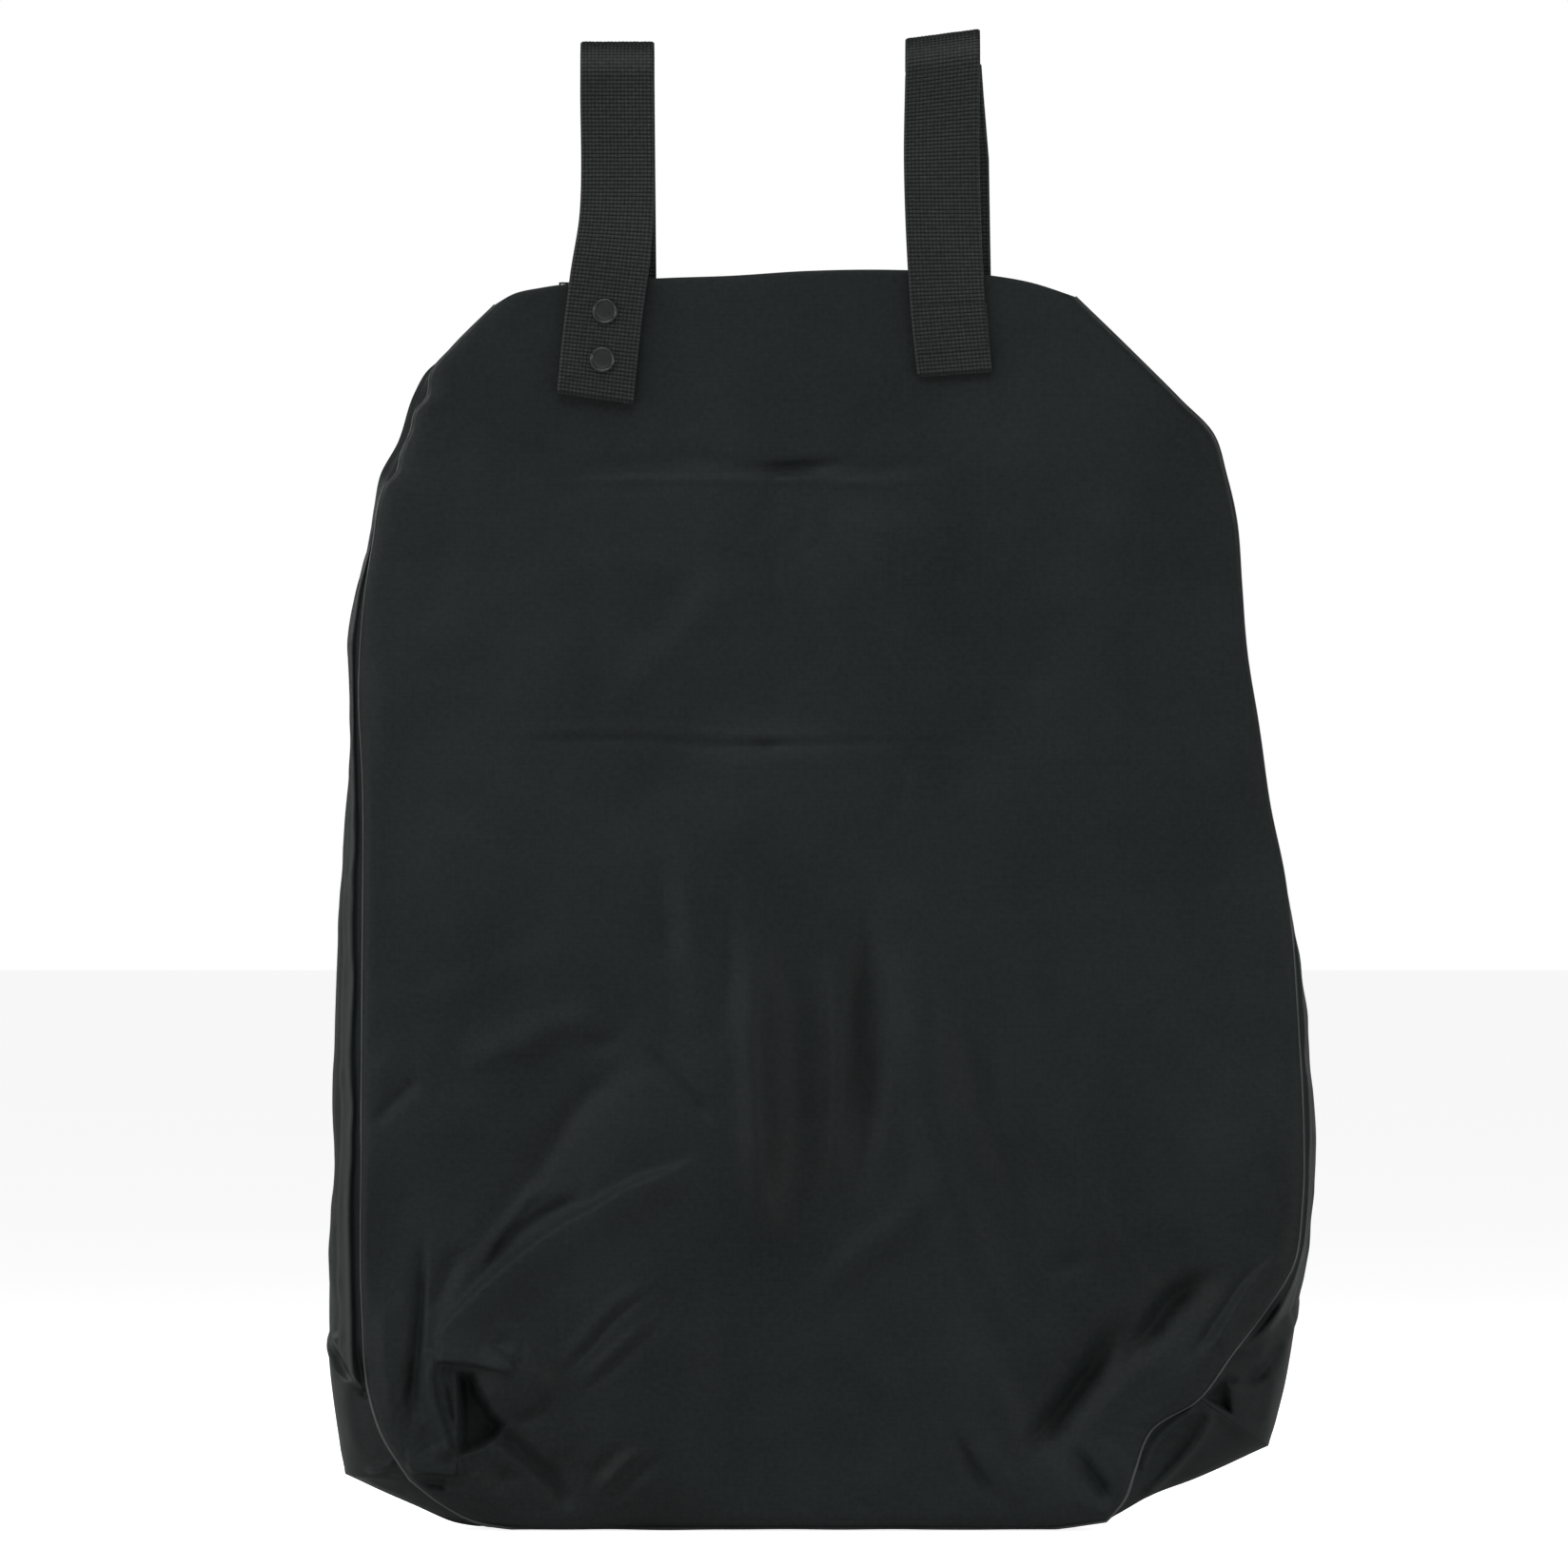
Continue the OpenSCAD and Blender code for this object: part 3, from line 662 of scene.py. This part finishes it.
def right_corner_folds(x, z):
    """Folds that run into the lower right corner."""
    r = strokes(x, z, [
        ([(108, 26), (131, 52), (147, 74), (158, 91), (174, 118)], 7, -8, 9),
        ([(118, 37), (132, 53), (147, 73), (158, 90), (168, 108)], 5.5, -3),
        ([(166, 70), (180, 97), (197, 119), (228, 132)], 6, -6, 8),
        ([(170, 84), (181, 99), (196, 118), (214, 127)], 5.0, -1.5),
    ], fade=0.42)
    r += strokes(x, z, [
        ([(104, 24), (130, 54), (152, 84), (170, 116)], 20, -6, 26),
        ([(166, 76), (184, 100), (204, 118), (226, 124)], 12, -5, 22),
        ([(152, 44), (168, 72), (184, 90), (198, 104)], 6.5, 2.2),
        ([(80, 54), (94, 31), (110, 8)], 3.0, -4.0, 4.5),
        ([(92, 56), (106, 32), (118, 10)], 5.0, 1.8),
        ([(142, 44), (154, 27), (168, 8)], 3.6, -6.0, 4.5),
        ([(134, 38), (143, 22), (150, 6)], 4.0, 2.2),
        ([(158, 48), (166, 34), (172, 20)], 4.0, 2.2),
    ], fade=0.4)
    r += strokes(x, z, [
        ([(256, 141), (238, 131), (225, 112), (211, 88)], 3.0, 2.6, 4.5),
        ([(248, 140), (231, 128), (216, 106), (200, 84)], 3.0, -2.4),
        ([(238, 190), (246, 166), (250, 148)], 6, -1.4),
    ])
    r += bump(x, z, (186, 152), (30, 16), 2.8, angle=-10)
    return r


def back_relief(x, z):
    """Outward relief of the back panel: plain soft folds of the hanging cloth."""
    low = smoothstep((430 - z) / 300)
    r = 1.2 * lattice_noise(x, z, 120, 41) + 0.5 * lattice_noise(x, z * 0.8, 50, 42)
    r += low * (1.0 * lattice_noise(x, z * 0.3, 34, 43) + 1.0 * lattice_noise(x, z * 0.5, 80, 44))
    return r + strokes(x, z, [
        ([(-140, 528), (0, 529), (120, 527)], 1.6, -0.9, 3.0),
        ([(-150, 397), (0, 398), (140, 396)], 1.6, -0.9, 3.0),
        ([(-6, 620), (-6, 400)], 4, 0.5),
        ([(-70, 300), (-110, 60)], 9, 1.4),
        ([(-20, 320), (-34, 80)], 9, -1.3),
        ([(30, 300), (44, 90)], 9, 1.2),
        ([(90, 310), (140, 70)], 9, -1.4),
        ([(160, 240), (196, 70)], 9, 1.5),
        ([(-160, 250), (-196, 80)], 9, -1.4),
    ])


def panel(outline, side, relief, seed):
    """A panel's points: its outline's patch, pushed out to side -1 (front) or 1 (back).

    The relief dies away near the seams, and in the cloth that the loops hold flat at the top.
    """
    x, z, edges = panel_patch(*outline)
    seam = np.minimum(np.minimum(edges["left"], edges["right"]), edges["bottom"])
    calm = smoothstep(seam / 14) * smoothstep(edges["top"] / 20)
    slack = 0.10 + 0.90 * smoothstep((590 - z) / 60)
    out = half_depth(z) - seam_roll(edges, seed) + relief(x, z) * (0.15 + 0.85 * calm) * slack
    return np.stack([x, side * out, z], axis=-1)


ACROSS = 64
STRIP_ROWS = 600
CORNER_TURN = 4.0


def gusset_strip(front_edge, back_edge, bulge, turn, seed, folds, welt=0.0, floor=None):
    """A strip of cloth from the front seam to the back seam.

    bulge bows it outwards; turn, from 1 up, makes it spread sideways before it runs back; welt is
    the share of its depth by which it rolls forwards again behind the front seam.
    """
    front_edge, back_edge = even(front_edge, STRIP_ROWS)[0], even(back_edge, STRIP_ROWS)[0]
    share = crowded(ACROSS, 0.08)[None]

    # Where the strip turns forwards, its points spread sideways before they run back.
    w = share[..., None]
    base = (1 - w) * front_edge[:, None] + w * back_edge[:, None]
    power = turn(base[..., 0], base[..., 2])
    spread = (1 - (1 - share) ** power)[..., None]
    points = (1 - spread) * front_edge[:, None] + spread * back_edge[:, None]
    points[..., 1] = base[..., 1]

    # It bows outwards, with waves and a packing fold down its middle.
    middle = (front_edge + back_edge) / 2
    along = np.gradient(middle, axis=0)
    outward = unit(np.stack([along[:, 2], np.zeros(len(along)), -along[:, 0]], axis=-1))
    s, across = np.meshgrid(distances(middle), share[0] * 60, indexing="ij")
    to_end = np.minimum(s, s[-1:] - s)
    ends = smoothstep(to_end / 14)
    arch = 4 * share * (1 - share)
    waves = 1.0 * lattice_noise(s, across, 34, seed) + 0.5 * lattice_noise(s, across * 1.6, 13, seed + 1)
    centre_fold = -0.9 * np.exp(-((across - 31) / 3.5) ** 2)
    turned = (power - 1) / (CORNER_TURN - 1)
    rise = bulge(middle[:, 2])[:, None] * arch + (waves + centre_fold) * np.sqrt(arch)
    rise *= (1 - 0.85 * turned) * ends
    points += outward[:, None] * rise[..., None]

    # It rolls forwards behind the front seam, and then come the strip's own folds.
    depth = (back_edge - front_edge)[:, 1:2]
    roll = np.exp(-((share - 0.20) / 0.07) ** 2) - 0.3 * np.exp(-((share - 0.06) / 0.05) ** 2)
    points[..., 1] -= welt * depth * roll * (1 - turned) * ends
    calm = np.sqrt(np.clip(arch * 2, 0, 1)) * smoothstep(to_end / 5)
    points[..., 1] -= folds(points[..., 0], points[..., 2]) * calm
    if floor is not None:
        points[..., 2] = np.maximum(points[..., 2], floor)
    return points, np.stack([across, s], axis=-1)


def left_turn(x, z):
    """The left strip faces sideways above a slanting crease near its foot and forwards below it."""
    crease = 72 + (-213 - x) * 1.45
    return 1 + (CORNER_TURN - 1) * smoothstep((crease - z) / 4)


def right_turn(x, z):
    """The right strip does the same, below a crease that starts behind the panel's corner."""
    crease = 86 + (x - 222) * 0.9
    return 1 + (CORNER_TURN - 1) * smoothstep((crease - z) / 5)


def bottom_turn(x, _z):
    """The bottom strip faces forwards only at its two ends."""
    return 1 + (CORNER_TURN - 1) * smoothstep((np.abs(x) - 158) / 16)


def left_gusset_folds(x, z):
    """A rolled edge along the crease at the foot of the left strip."""
    r = stroke(x, z, [(-212, 70), (-221, 83), (-231, 98)], 1.6, 7.0, 4.0, fade=0.1)
    r += strokes(x, z, [
        ([(-196, 36), (-205, 31), (-214, 29)], 2.2, 5.0),
        ([(-222, 84), (-222, 60), (-216, 34)], 4.0, 2.0),
    ])
    return r


def right_gusset_folds(x, z):
    """Folds of the right strip where it turns in behind the lower corner of the panel."""
    r = strokes(x, z, [
        ([(252, 116), (240, 102), (223, 87)], 3.0, 4.0, 2.6),
        ([(249, 96), (238, 80), (230, 74)], 4.0, -6.0),
        ([(246, 80), (243, 64), (240, 50)], 4.0, 3.0),
    ])
    r += bump(x, z, (223, 72), (6, 3.6), 8.0, angle=-12)
    r += pit(x, z, [(207, 67), (219, 78), (222, 73), (224, 57)], depth=10, wall=3)
    return r


def bottom_gusset_folds(x, z):
    """Folds of the bottom strip at both corners."""
    r = strokes(x, z, [
        ([(214, 62), (209, 50), (197, 34), (178, 15)], 2.2, 6.5, 3.0),
        ([(206, 63), (196, 56), (186, 46), (177, 28)], 2.2, 6.5, 2.6),
    ], fade=0.12)
    r += stroke(x, z, [(-214, 25), (-203, 20), (-192, 17)], 2.0, 3.0)
    r += bump(x, z, (222, 49), (9, 7), -2.5, angle=30)
    return r


def side_bulge(low, high, full):
    """Bulge of a side strip against height: full below low, and drawn in above high."""
    return lambda z: full - (full + 2.0) * smoothstep((z - low) / (high - low))


def shell_piece(node, points, uv, slot, flip=False):
    """One sheet of the shell, which takes the place of its CAD node."""
    obj = make_object(node + "_nylon", points, grid_faces(*points.shape[:2], flip), NYLON, uv)
    thicken(obj, SHEET_T)
    install(obj, slot, "bag", node)


def rolled_edge(name, edge, radius):
    """The turned edge that stands up along the front seam, in cloth painted lighter than the panel as a
    painted highlight.
    """
    line = even(edge, 900)[0]
    along = np.arange(len(line))
    fuller = 1 + 0.9 * smoothstep((120 - line[:, 2]) / 60)
    size = radius * fuller * (1 + 0.35 * lattice_noise(along, along * 0.3, 16, 91))
    points, turn = tube(line, size[:, None, None], 10, [0.0, 1.0, 0.0])
    uv = np.stack(np.meshgrid(along * 1.8, turn, indexing="ij"), axis=-1)
    obj = make_object(name, points, grid_faces(*points.shape[:2], wrap=True), SEAM_HIGHLIGHT_NYLON, uv)
    install(obj, "shell_nylon", "bag", "front_panel")


def seam_line(sheet):
    """A panel's seam: down its left edge, along the foot and up its right edge."""
    return np.concatenate([sheet[::-1, 0], sheet[0, 1:], sheet[1:, -1]])


def bag_shell():
    """Front and back panels, side and bottom gussets, the turned edge and the seams' binding."""
    front = panel((FRONT_LEFT, FRONT_RIGHT, FRONT_BOTTOM, FRONT_TOP), -1, front_relief, 11)
    back = panel((BACK_LEFT, BACK_RIGHT, BACK_BOTTOM, BACK_TOP), 1, back_relief, 51)
    shell_piece("front_panel", front, front[..., [0, 2]], "shell_nylon")
    shell_piece("back_panel", back, back[..., [0, 2]], "shell_nylon", flip=True)
    mitre = int(np.argmin(np.abs(front[:, -1, 2] - MITRE_Z)))
    front_foot = np.concatenate([front[0], front[1:mitre + 1, -1]])
    strips = {
        "left_gusset": (front[::-1, 0], back[::-1, 0], side_bulge(430, 540, 5.0), left_turn,
                        61, left_gusset_folds, 0.11),
        "bottom_gusset": (front_foot, back[0], side_bulge(900, 1000, 0.8), bottom_turn,
                          71, bottom_gusset_folds, 0.0, 0.3),
        "right_gusset": (front[mitre:, -1], back[:, -1], side_bulge(240, 380, 4.0), right_turn,
                         81, right_gusset_folds, 0.07),
    }
    for node, strip in strips.items():
        shell_piece(node, *gusset_strip(*strip), "gusset_nylon")
    front_seam, back_seam = seam_line(front), seam_line(back)
    seam_binding("front_seam_tape", front_seam, 1)
    rolled_edge("front_seam_edge", front_seam, 0.5)
    seam_binding("back_seam_tape", back_seam, -1)


def seam_binding(node, edge, side):
    """Narrow ribbon that stands inwards from a seam, inside the bag."""
    centre = np.array([0, 0, BAG_TOP / 2])
    inward = unit((centre - edge) * [1, 0, 1])
    offset = np.array([0, side * 1.6, 0])
    rows = [edge + inward * reach + offset for reach in (2.0, 6.0, 10.0)]
    points = np.stack(rows, axis=1)
    uv = np.stack(np.meshgrid(np.arange(len(edge)) * 2.0, [0, 4, 8], indexing="ij"), axis=-1)
    obj = make_object(node + "_ribbon", points, grid_faces(len(edge), 3), NYLON, uv)
    thicken(obj, 0.6)
    install(obj, "binding", "bag", node)


# ---- webbing ----

RIB = 1.95
FLOATS = 20
FLOAT_STEPS = 6
RIB_STEPS = 5


def weave_height(across, along):
    """Relief of ribbed webbing: rows of weft crossed by warp floats that show as beads."""
    rows = np.abs(np.sin(math.pi * along / RIB))
    beads = np.abs(np.sin(math.pi * across * FLOATS / STRAP_W))
    uneven = 1 + 0.25 * lattice_noise(across + 0 * along, along + 0 * across, 2.1, 31)
    return 0.42 * rows * (0.55 + 0.45 * beads) * uneven


def webbing_section():
    """Around a strap: each point's place across it, its side (1 to -1) and 1 where it's on a face."""
    half_w, half_t = STRAP_W / 2, STRAP_T / 2
    flat = np.linspace(-half_w + half_t, half_w - half_t, FLOATS * FLOAT_STEPS + 1)
    turn = np.radians([60, 30, 0, -30, -60])
    edge = half_w - half_t + half_t * np.cos(turn)
    face, rim = np.ones(len(flat)), np.zeros(len(turn))
    across = np.concatenate([flat, edge, flat[::-1], -edge])
    side = np.concatenate([face, np.sin(turn), -face, -np.sin(turn)])
    return across, side, np.concatenate([face, rim, face, rim])


def capped_tube_faces(count, ring):
    """Faces of a tube of count rings, with a fan at each end around one of two further points."""
    faces = grid_faces(count, ring, wrap=True).tolist()
    first, last = count * ring, count * ring + 1
    for i in range(ring):
        j = (i + 1) % ring
        faces.append([first, j, i])
        faces.append([last, (count - 1) * ring + i, (count - 1) * ring + j])
    return faces


def webbing(name, path):
    """A flat woven strap along path, whose points are (x, y, z, tilt of its rows in degrees, width).

    The width is a share of the strap's own width: it looks narrower where it turns away a little.
    """
    path = np.array(path, float)
    line, along = even(path, int(round(distances(path)[-1] * RIB_STEPS / RIB)) + 1)
    centre = line[:, :3]
    tilt = np.radians(line[:, 3])
    width_dir = np.stack([np.cos(tilt), np.zeros(len(tilt)), np.sin(tilt)], axis=-1)
    face_dir = unit(np.cross(unit(np.gradient(centre, axis=0)), width_dir))
    width_dir *= line[:, 4:5]

    across, side, on_face = webbing_section()
    to_edge = STRAP_W / 2 - np.abs(across)
    relief = weave_height(across[None], along[:, None]) * (on_face * smoothstep(to_edge / 2.2))[None]
    selvedge = 0.12 * np.exp(-((to_edge - 1.4) / 0.8) ** 2) * on_face
    lift = side[None] * (STRAP_T / 2 - 0.30) + np.sign(side)[None] * (relief + selvedge[None])
    rows = centre[:, None] + width_dir[:, None] * across[None, :, None] + face_dir[:, None] * lift[..., None]
    verts = np.concatenate([rows.reshape(-1, 3), centre[[0]], centre[[-1]]])
    v, u = np.meshgrid(along, across, indexing="ij")
    uv = np.concatenate([np.stack([u, v], axis=-1).reshape(-1, 2), [[0, 0], [0, along[-1]]]])
    return make_object(name, verts, capped_tube_faces(*rows.shape[:2]), WEBBING, uv)


def arc_points(centre_y, centre_z, r_rear, r_front, count=40):
    """The bend of a loop from its rear leg over the top to its front leg, as (y, z)."""
    angle = np.linspace(0, math.pi, count)
    r = r_rear + (r_front - r_rear) * smoothstep(angle / math.pi)
    return np.stack([centre_y + r * np.cos(angle), centre_z + r * np.sin(angle)], axis=-1)


def folded_end(x, y, z, tilt, width, gap, length, drift=0.0):
    """Path points that turn a strap end backwards and up behind itself."""
    radius = (STRAP_T + gap) / 2
    points = []
    for angle in np.linspace(0.25, math.pi, 7):
        points.append((x, y + radius * (1 - math.cos(angle)), z - radius * math.sin(angle), tilt, width))
    points.append((x + drift, y + 2 * radius, z + length, tilt, width))
    return points


def left_loop_path():
    """Rear leg, bend, leaning front leg and hem of the opening loop."""
    joint = next(j for j in frame["joints"] if j["name"] == "left_strap_open")
    pivot_y, pivot_z = joint["pos_m"][1] / MM, joint["pos_m"][2] / MM
    rear_y = LEFT_HIGH[1] - STRAP_T / 2
    front_y = TAIL_LOW[1] + STRAP_T / 2
    top_x = (LEFT_LOW[0] + LEFT_HIGH[0]) / 2
    narrow, wide = 0.98, 1.03
    path = [(top_x + 1.0, rear_y, LEFT_LOW[2], 0, 1), (top_x + 0.5, rear_y, BAG_TOP, 0, 1)]
    path += [(top_x, y, z, 0, narrow) for y, z in
             arc_points(pivot_y, pivot_z, rear_y - pivot_y, pivot_y - front_y)]
    sway = [(pivot_z, top_x), (656, -86.9), (630, -90.3), (613, -92.6), (590, -95.2),
            (TAIL_LOW[2] + 2, -97.0)]
    for z, x in curve(sway, 60)[1:]:
        tilt = -5.5 * smoothstep((680 - z) / 50) - 2.4 * smoothstep((600 - z) / 25)
        width = narrow + (wide - narrow) * smoothstep((665 - z) / 35)
        path.append((x, front_y, z, tilt, width))
    return path + folded_end(x, front_y, z, tilt, width, gap=0.1, length=9, drift=0.6)


def right_loop_path():
    """Rear leg, slanted bend, front leg and doubled end of the sewn loop."""
    rear_y = RIGHT_HIGH[1] - STRAP_T / 2
    front_y = RIGHT_LOW[1] + STRAP_T / 2
    pivot_y = (rear_y + front_y) / 2
    radius = (rear_y - front_y) / 2
    slant = 7.5
    pivot_z = RIGHT_HIGH[2] - radius - STRAP_T / 2
    path = [(84, rear_y, RIGHT_LOW[2], 0, 1), (83.6, rear_y, BAG_TOP, 1, 1), (82.6, rear_y, 690, 3, 1),
            (80.0, rear_y, 722, slant, 1), (79.0, rear_y, pivot_z, slant, 1)]
    path += [(78, y, z, slant, 1) for y, z in arc_points(pivot_y, pivot_z, radius, radius)[1:]]
    sway = [(pivot_z, 77.8), (690, 77.3), (640, 79.0), (612, 80.9), (RIGHT_HEM_Z, 83.9)]
    for z, x in curve(sway, 60)[1:]:
        tilt = slant * (1 - smoothstep((pivot_z - z) / 70)) + 4.3 * smoothstep((650 - z) / 50)
        path.append((x, front_y, z, tilt, 1))
    return path + folded_end(x, front_y, z, tilt, 1, gap=0.2, length=33, drift=-2.6)


def webbing_loops():
    """The opening loop, made as one fixed mesh that hangs on no body, and the sewn one."""
    left = webbing("left_strap_webbing", left_loop_path())
    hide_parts("left_strap", "left_strap_tail")
    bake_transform(left)
    right = webbing("right_strap_webbing", right_loop_path())
    install(right, "webbing", "bag", "right_strap")


# ---- press studs ----

AROUND = 64


def turned(name, centre, profile, material):
    """A round part turned about its own Y axis; profile lists (radius, distance forwards)."""
    profile = np.array(profile, float)
    angle = np.arange(AROUND) * 2 * math.pi / AROUND
    r, forward = profile[:, 0][:, None], profile[:, 1][:, None]
    rows = np.stack([centre[0] + r * np.cos(angle), np.broadcast_to(centre[1] - forward, (len(r), AROUND)),
                     centre[2] + r * np.sin(angle)], axis=-1)
    return make_object(name, rows, grid_faces(len(profile), AROUND, wrap=True), material)


def cap_profile(radius, height):
    """A low cap: rolled rim, shallow groove inside it and a slightly raised middle."""
    rim = 0.55
    points = [(radius - 0.7, 0), (radius - 0.1, 0.1), (radius, 0.45)]
    for angle in np.linspace(0, math.pi, 9):
        points.append((radius - rim + rim * math.cos(angle), height - rim + rim * math.sin(angle)))
    inner = radius - 2 * rim
    points += [(inner - 0.25, height - rim - 0.15), (inner - 0.9, height - rim)]
    points += [(inner * t, height - rim + 0.35 * (1 - t * t)) for t in (0.7, 0.5, 0.3, 0.15, 0.002)]
    return points


def press_stud_caps():
    """The two dark caps on the front of the opening loop."""
    low, high = box_mm("snap_caps")
    radius, height = 6.25, 1.6
    face = low[1] + height
    places = [(high[0] - radius, face, high[2] - radius), (low[0] + radius, face, low[2] + radius)]
    for index, place in enumerate(places):
        cap = turned(f"snap_cap_{index + 1}", place, cap_profile(radius, height), SNAP_ENAMEL)
        install(cap, "snap_enamel", "opening_tail", "snap_caps")


# ---- stitching ----


def stitch_row(start, end, length=2.6, gap=0.5):
    """Short thread ends between two points in X and Z, as (start, end) pairs."""
    start, end = np.array(start, float), np.array(end, float)
    span = np.linalg.norm(end - start)
    count = max(1, int(round(span / (length + gap))))
    step = (end - start) / count
    part = length / (length + gap)
    return [(start + i * step, start + (i + part) * step) for i in range(count)]


def crossed_box(x_low, x_high, z_low, z_high):
    """Rows of a sewn box with a cross."""
    a, b = (x_low, z_low), (x_high, z_low)
    c, d = (x_high, z_high), (x_low, z_high)
    rows = []
    for start, end in ((a, b), (b, c), (c, d), (d, a), (a, c), (b, d)):
        rows += stitch_row(start, end)
    return rows


def threads(name, rows, surface_y, facing):
    """Thread stitches lying on a face at surface_y; facing is -1 for the front and 1 for the rear."""
    verts, faces = [], []
    sides, bends = 6, 5
    for start, end in rows:
        across = np.array([-(end - start)[1], (end - start)[0]]) / np.linalg.norm(end - start)
        base = len(verts)
        for t in np.linspace(0, 1, bends):
            arch = math.sin(math.pi * t)
            centre = start + (end - start) * t
            radius = 0.12 + 0.12 * arch
            for k in range(sides):
                turn = 2 * math.pi * k / sides
                flat = centre + across * radius * math.cos(turn)
                lift = 0.05 + 0.22 * arch + radius * math.sin(turn)
                verts.append((flat[0], surface_y + facing * lift, flat[1]))
        faces += (grid_faces(bends, sides, wrap=True) + base).tolist()
    return make_object(name, verts, faces, THREAD)


def stitching():
    """Sewn boxes of both loops and the stitched hem of the opening one."""
    rear_rows = [stitch for low, high in REAR_BOXES for stitch in crossed_box(low, high, *REAR_BOX_Z)]
    rear = threads("strap_stitching_rear", rear_rows, LEFT_HIGH[1], 1)
    a, b, c, d = FRONT_BOX
    front_rows = [stitch for ends in ((a, b), (d, c), (a, d), (b, c)) for stitch in stitch_row(*ends)]
    front = threads("strap_stitching_front", front_rows, RIGHT_LOW[1] + 0.1, -1)
    for obj in (rear, front):
        install(obj, "thread", "bag", "strap_stitching")
    hem = threads("tail_stitching_row", stitch_row(*HEM_ROW), TAIL_LOW[1] + 0.1, -1)
    install(hem, "thread", "opening_tail", "tail_stitching")


# ---- zip ----


def coil(name, node, toward):
    """One half of the zip: a flattened spiral of nylon wire, whose loops point to the other half."""
    low, high = box_mm(node)
    pitch, wire, sides, steps = 1.6, 0.38, 6, 14
    turns = int((high[0] - low[0] - 2 * wire) / pitch)
    t = np.linspace(0, turns, turns * steps + 1)
    angle = 2 * math.pi * t
    x0 = (low[0] + high[0]) / 2 - turns * pitch / 2 + (0.25 * pitch * toward)
    half_y = (high[1] - low[1]) / 2 - wire
    half_z = (high[2] - low[2]) / 2 - wire
    line = np.stack([x0 + pitch * t, (low[1] + high[1]) / 2 + half_y * np.cos(angle),
                     (low[2] + high[2]) / 2 + half_z * np.sin(angle)], axis=-1)
    rows = tube(line, wire, sides, [1.0, 0.0, 0.0])[0]
    obj = make_object(name, rows, grid_faces(len(line), sides, wrap=True), COIL_NYLON)
    install(obj, "zip_coil", "bag", node)


def zip_coils():
    coil("zip_coil_front_spiral", "zip_coil_front", 1)
    coil("zip_coil_rear_spiral", "zip_coil_rear", -1)


# ---- stage ----


def stage_material():
    """Matt white paper that stays white to the camera away from the contact shadow."""
    tree = MaterialTree("pale_floor")
    cloud = tree.noise(Scale=1.5, Detail=3.0)
    colour = tree.ramp(cloud, (0.88, 0.88, 0.88), (0.92, 0.92, 0.92))
    seen = tree.add("ShaderNodeLightPath")
    glow = tree.calc("MULTIPLY", seen.outputs["Is Camera Ray"], 0.85)
    return tree.finish(Base_Color=colour, Roughness=0.9, Specular_IOR_Level=0.0,
                       Emission_Color=(1, 1, 1, 1), Emission_Strength=glow)


def area_light(name, place, target, size, watts):
    data = bpy.data.lights.new(name, "AREA")
    data.shape = "RECTANGLE"
    data.size, data.size_y = size
    data.energy = watts
    obj = bpy.data.objects.new(name, data)
    obj.location = place
    obj.rotation_euler = (Vector(target) - Vector(place)).to_track_quat("-Z", "Y").to_euler()
    obj.visible_camera = False
    bpy.context.scene.collection.objects.link(obj)
    return obj


def studio_world(seen_white, light):
    """Surroundings that are white to the camera and light the bag less strongly."""
    world = bpy.data.worlds.new("studio")
    bpy.context.scene.world = world
    world.use_nodes = True
    nodes, links = world.node_tree.nodes, world.node_tree.links
    back = nodes["Background"]
    back.inputs["Color"].default_value = (1, 1, 1, 1)
    seen = nodes.new("ShaderNodeLightPath")
    strength = nodes.new("ShaderNodeMapRange")
    strength.inputs["To Min"].default_value = light
    strength.inputs["To Max"].default_value = seen_white
    links.new(seen.outputs["Is Camera Ray"], strength.inputs["Value"])
    links.new(strength.outputs["Result"], back.inputs["Strength"])


def stage_and_light():
    """Pale floor, white surroundings and soft area lights that rake across the cloth."""
    bpy.ops.mesh.primitive_plane_add(size=60, location=(0, 0, -0.0004))
    floor = bpy.context.object
    floor.name = "floor"
    floor.data.materials.append(stage_material())
    studio_world(1.0, 0.09)
    middle = (0, 0, 0.35)
    area_light("left", (-2.3, -0.8, 1.0), middle, (1.0, 1.4), 46)
    area_light("right", (2.3, -0.8, 0.7), middle, (1.0, 1.4), 17)
    area_light("top", (-0.3, -1.0, 2.1), middle, (1.8, 1.2), 52)
    area_light("low_left", (-1.5, -1.4, 0.22), (-0.2, 0, 0.1), (1.2, 0.3), 7)
    area_light("low_right", (1.5, -1.1, 0.2), (0.25, 0, 0.05), (1.0, 0.3), 13)
    area_light("back_left", (-1.8, 1.9, 1.2), middle, (1.2, 1.2), 22)
    area_light("back_right", (1.8, 1.9, 1.2), middle, (1.2, 1.2), 26)
    scene = bpy.context.scene
    scene.view_settings.view_transform = "Standard"
    scene.view_settings.look = "None"


CAMERA_DISTANCE = 10.0
FRAME_WIDTH = 0.791
VIEW_CENTRE = (-0.002, 0.0, 0.3755)


def camera():
    data = bpy.data.cameras.new("camera")
    data.sensor_width = 36
    data.lens = data.sensor_width * CAMERA_DISTANCE / FRAME_WIDTH
    data.clip_end = 100
    obj = bpy.data.objects.new("camera", data)
    obj.location = (VIEW_CENTRE[0], -CAMERA_DISTANCE, VIEW_CENTRE[2])
    obj.rotation_euler = (math.pi / 2, 0, 0)
    bpy.context.scene.collection.objects.link(obj)
    bpy.context.scene.camera = obj


dress_cad_nodes()
bag_shell()
webbing_loops()
press_stud_caps()
stitching()
zip_coils()
stage_and_light()
camera()
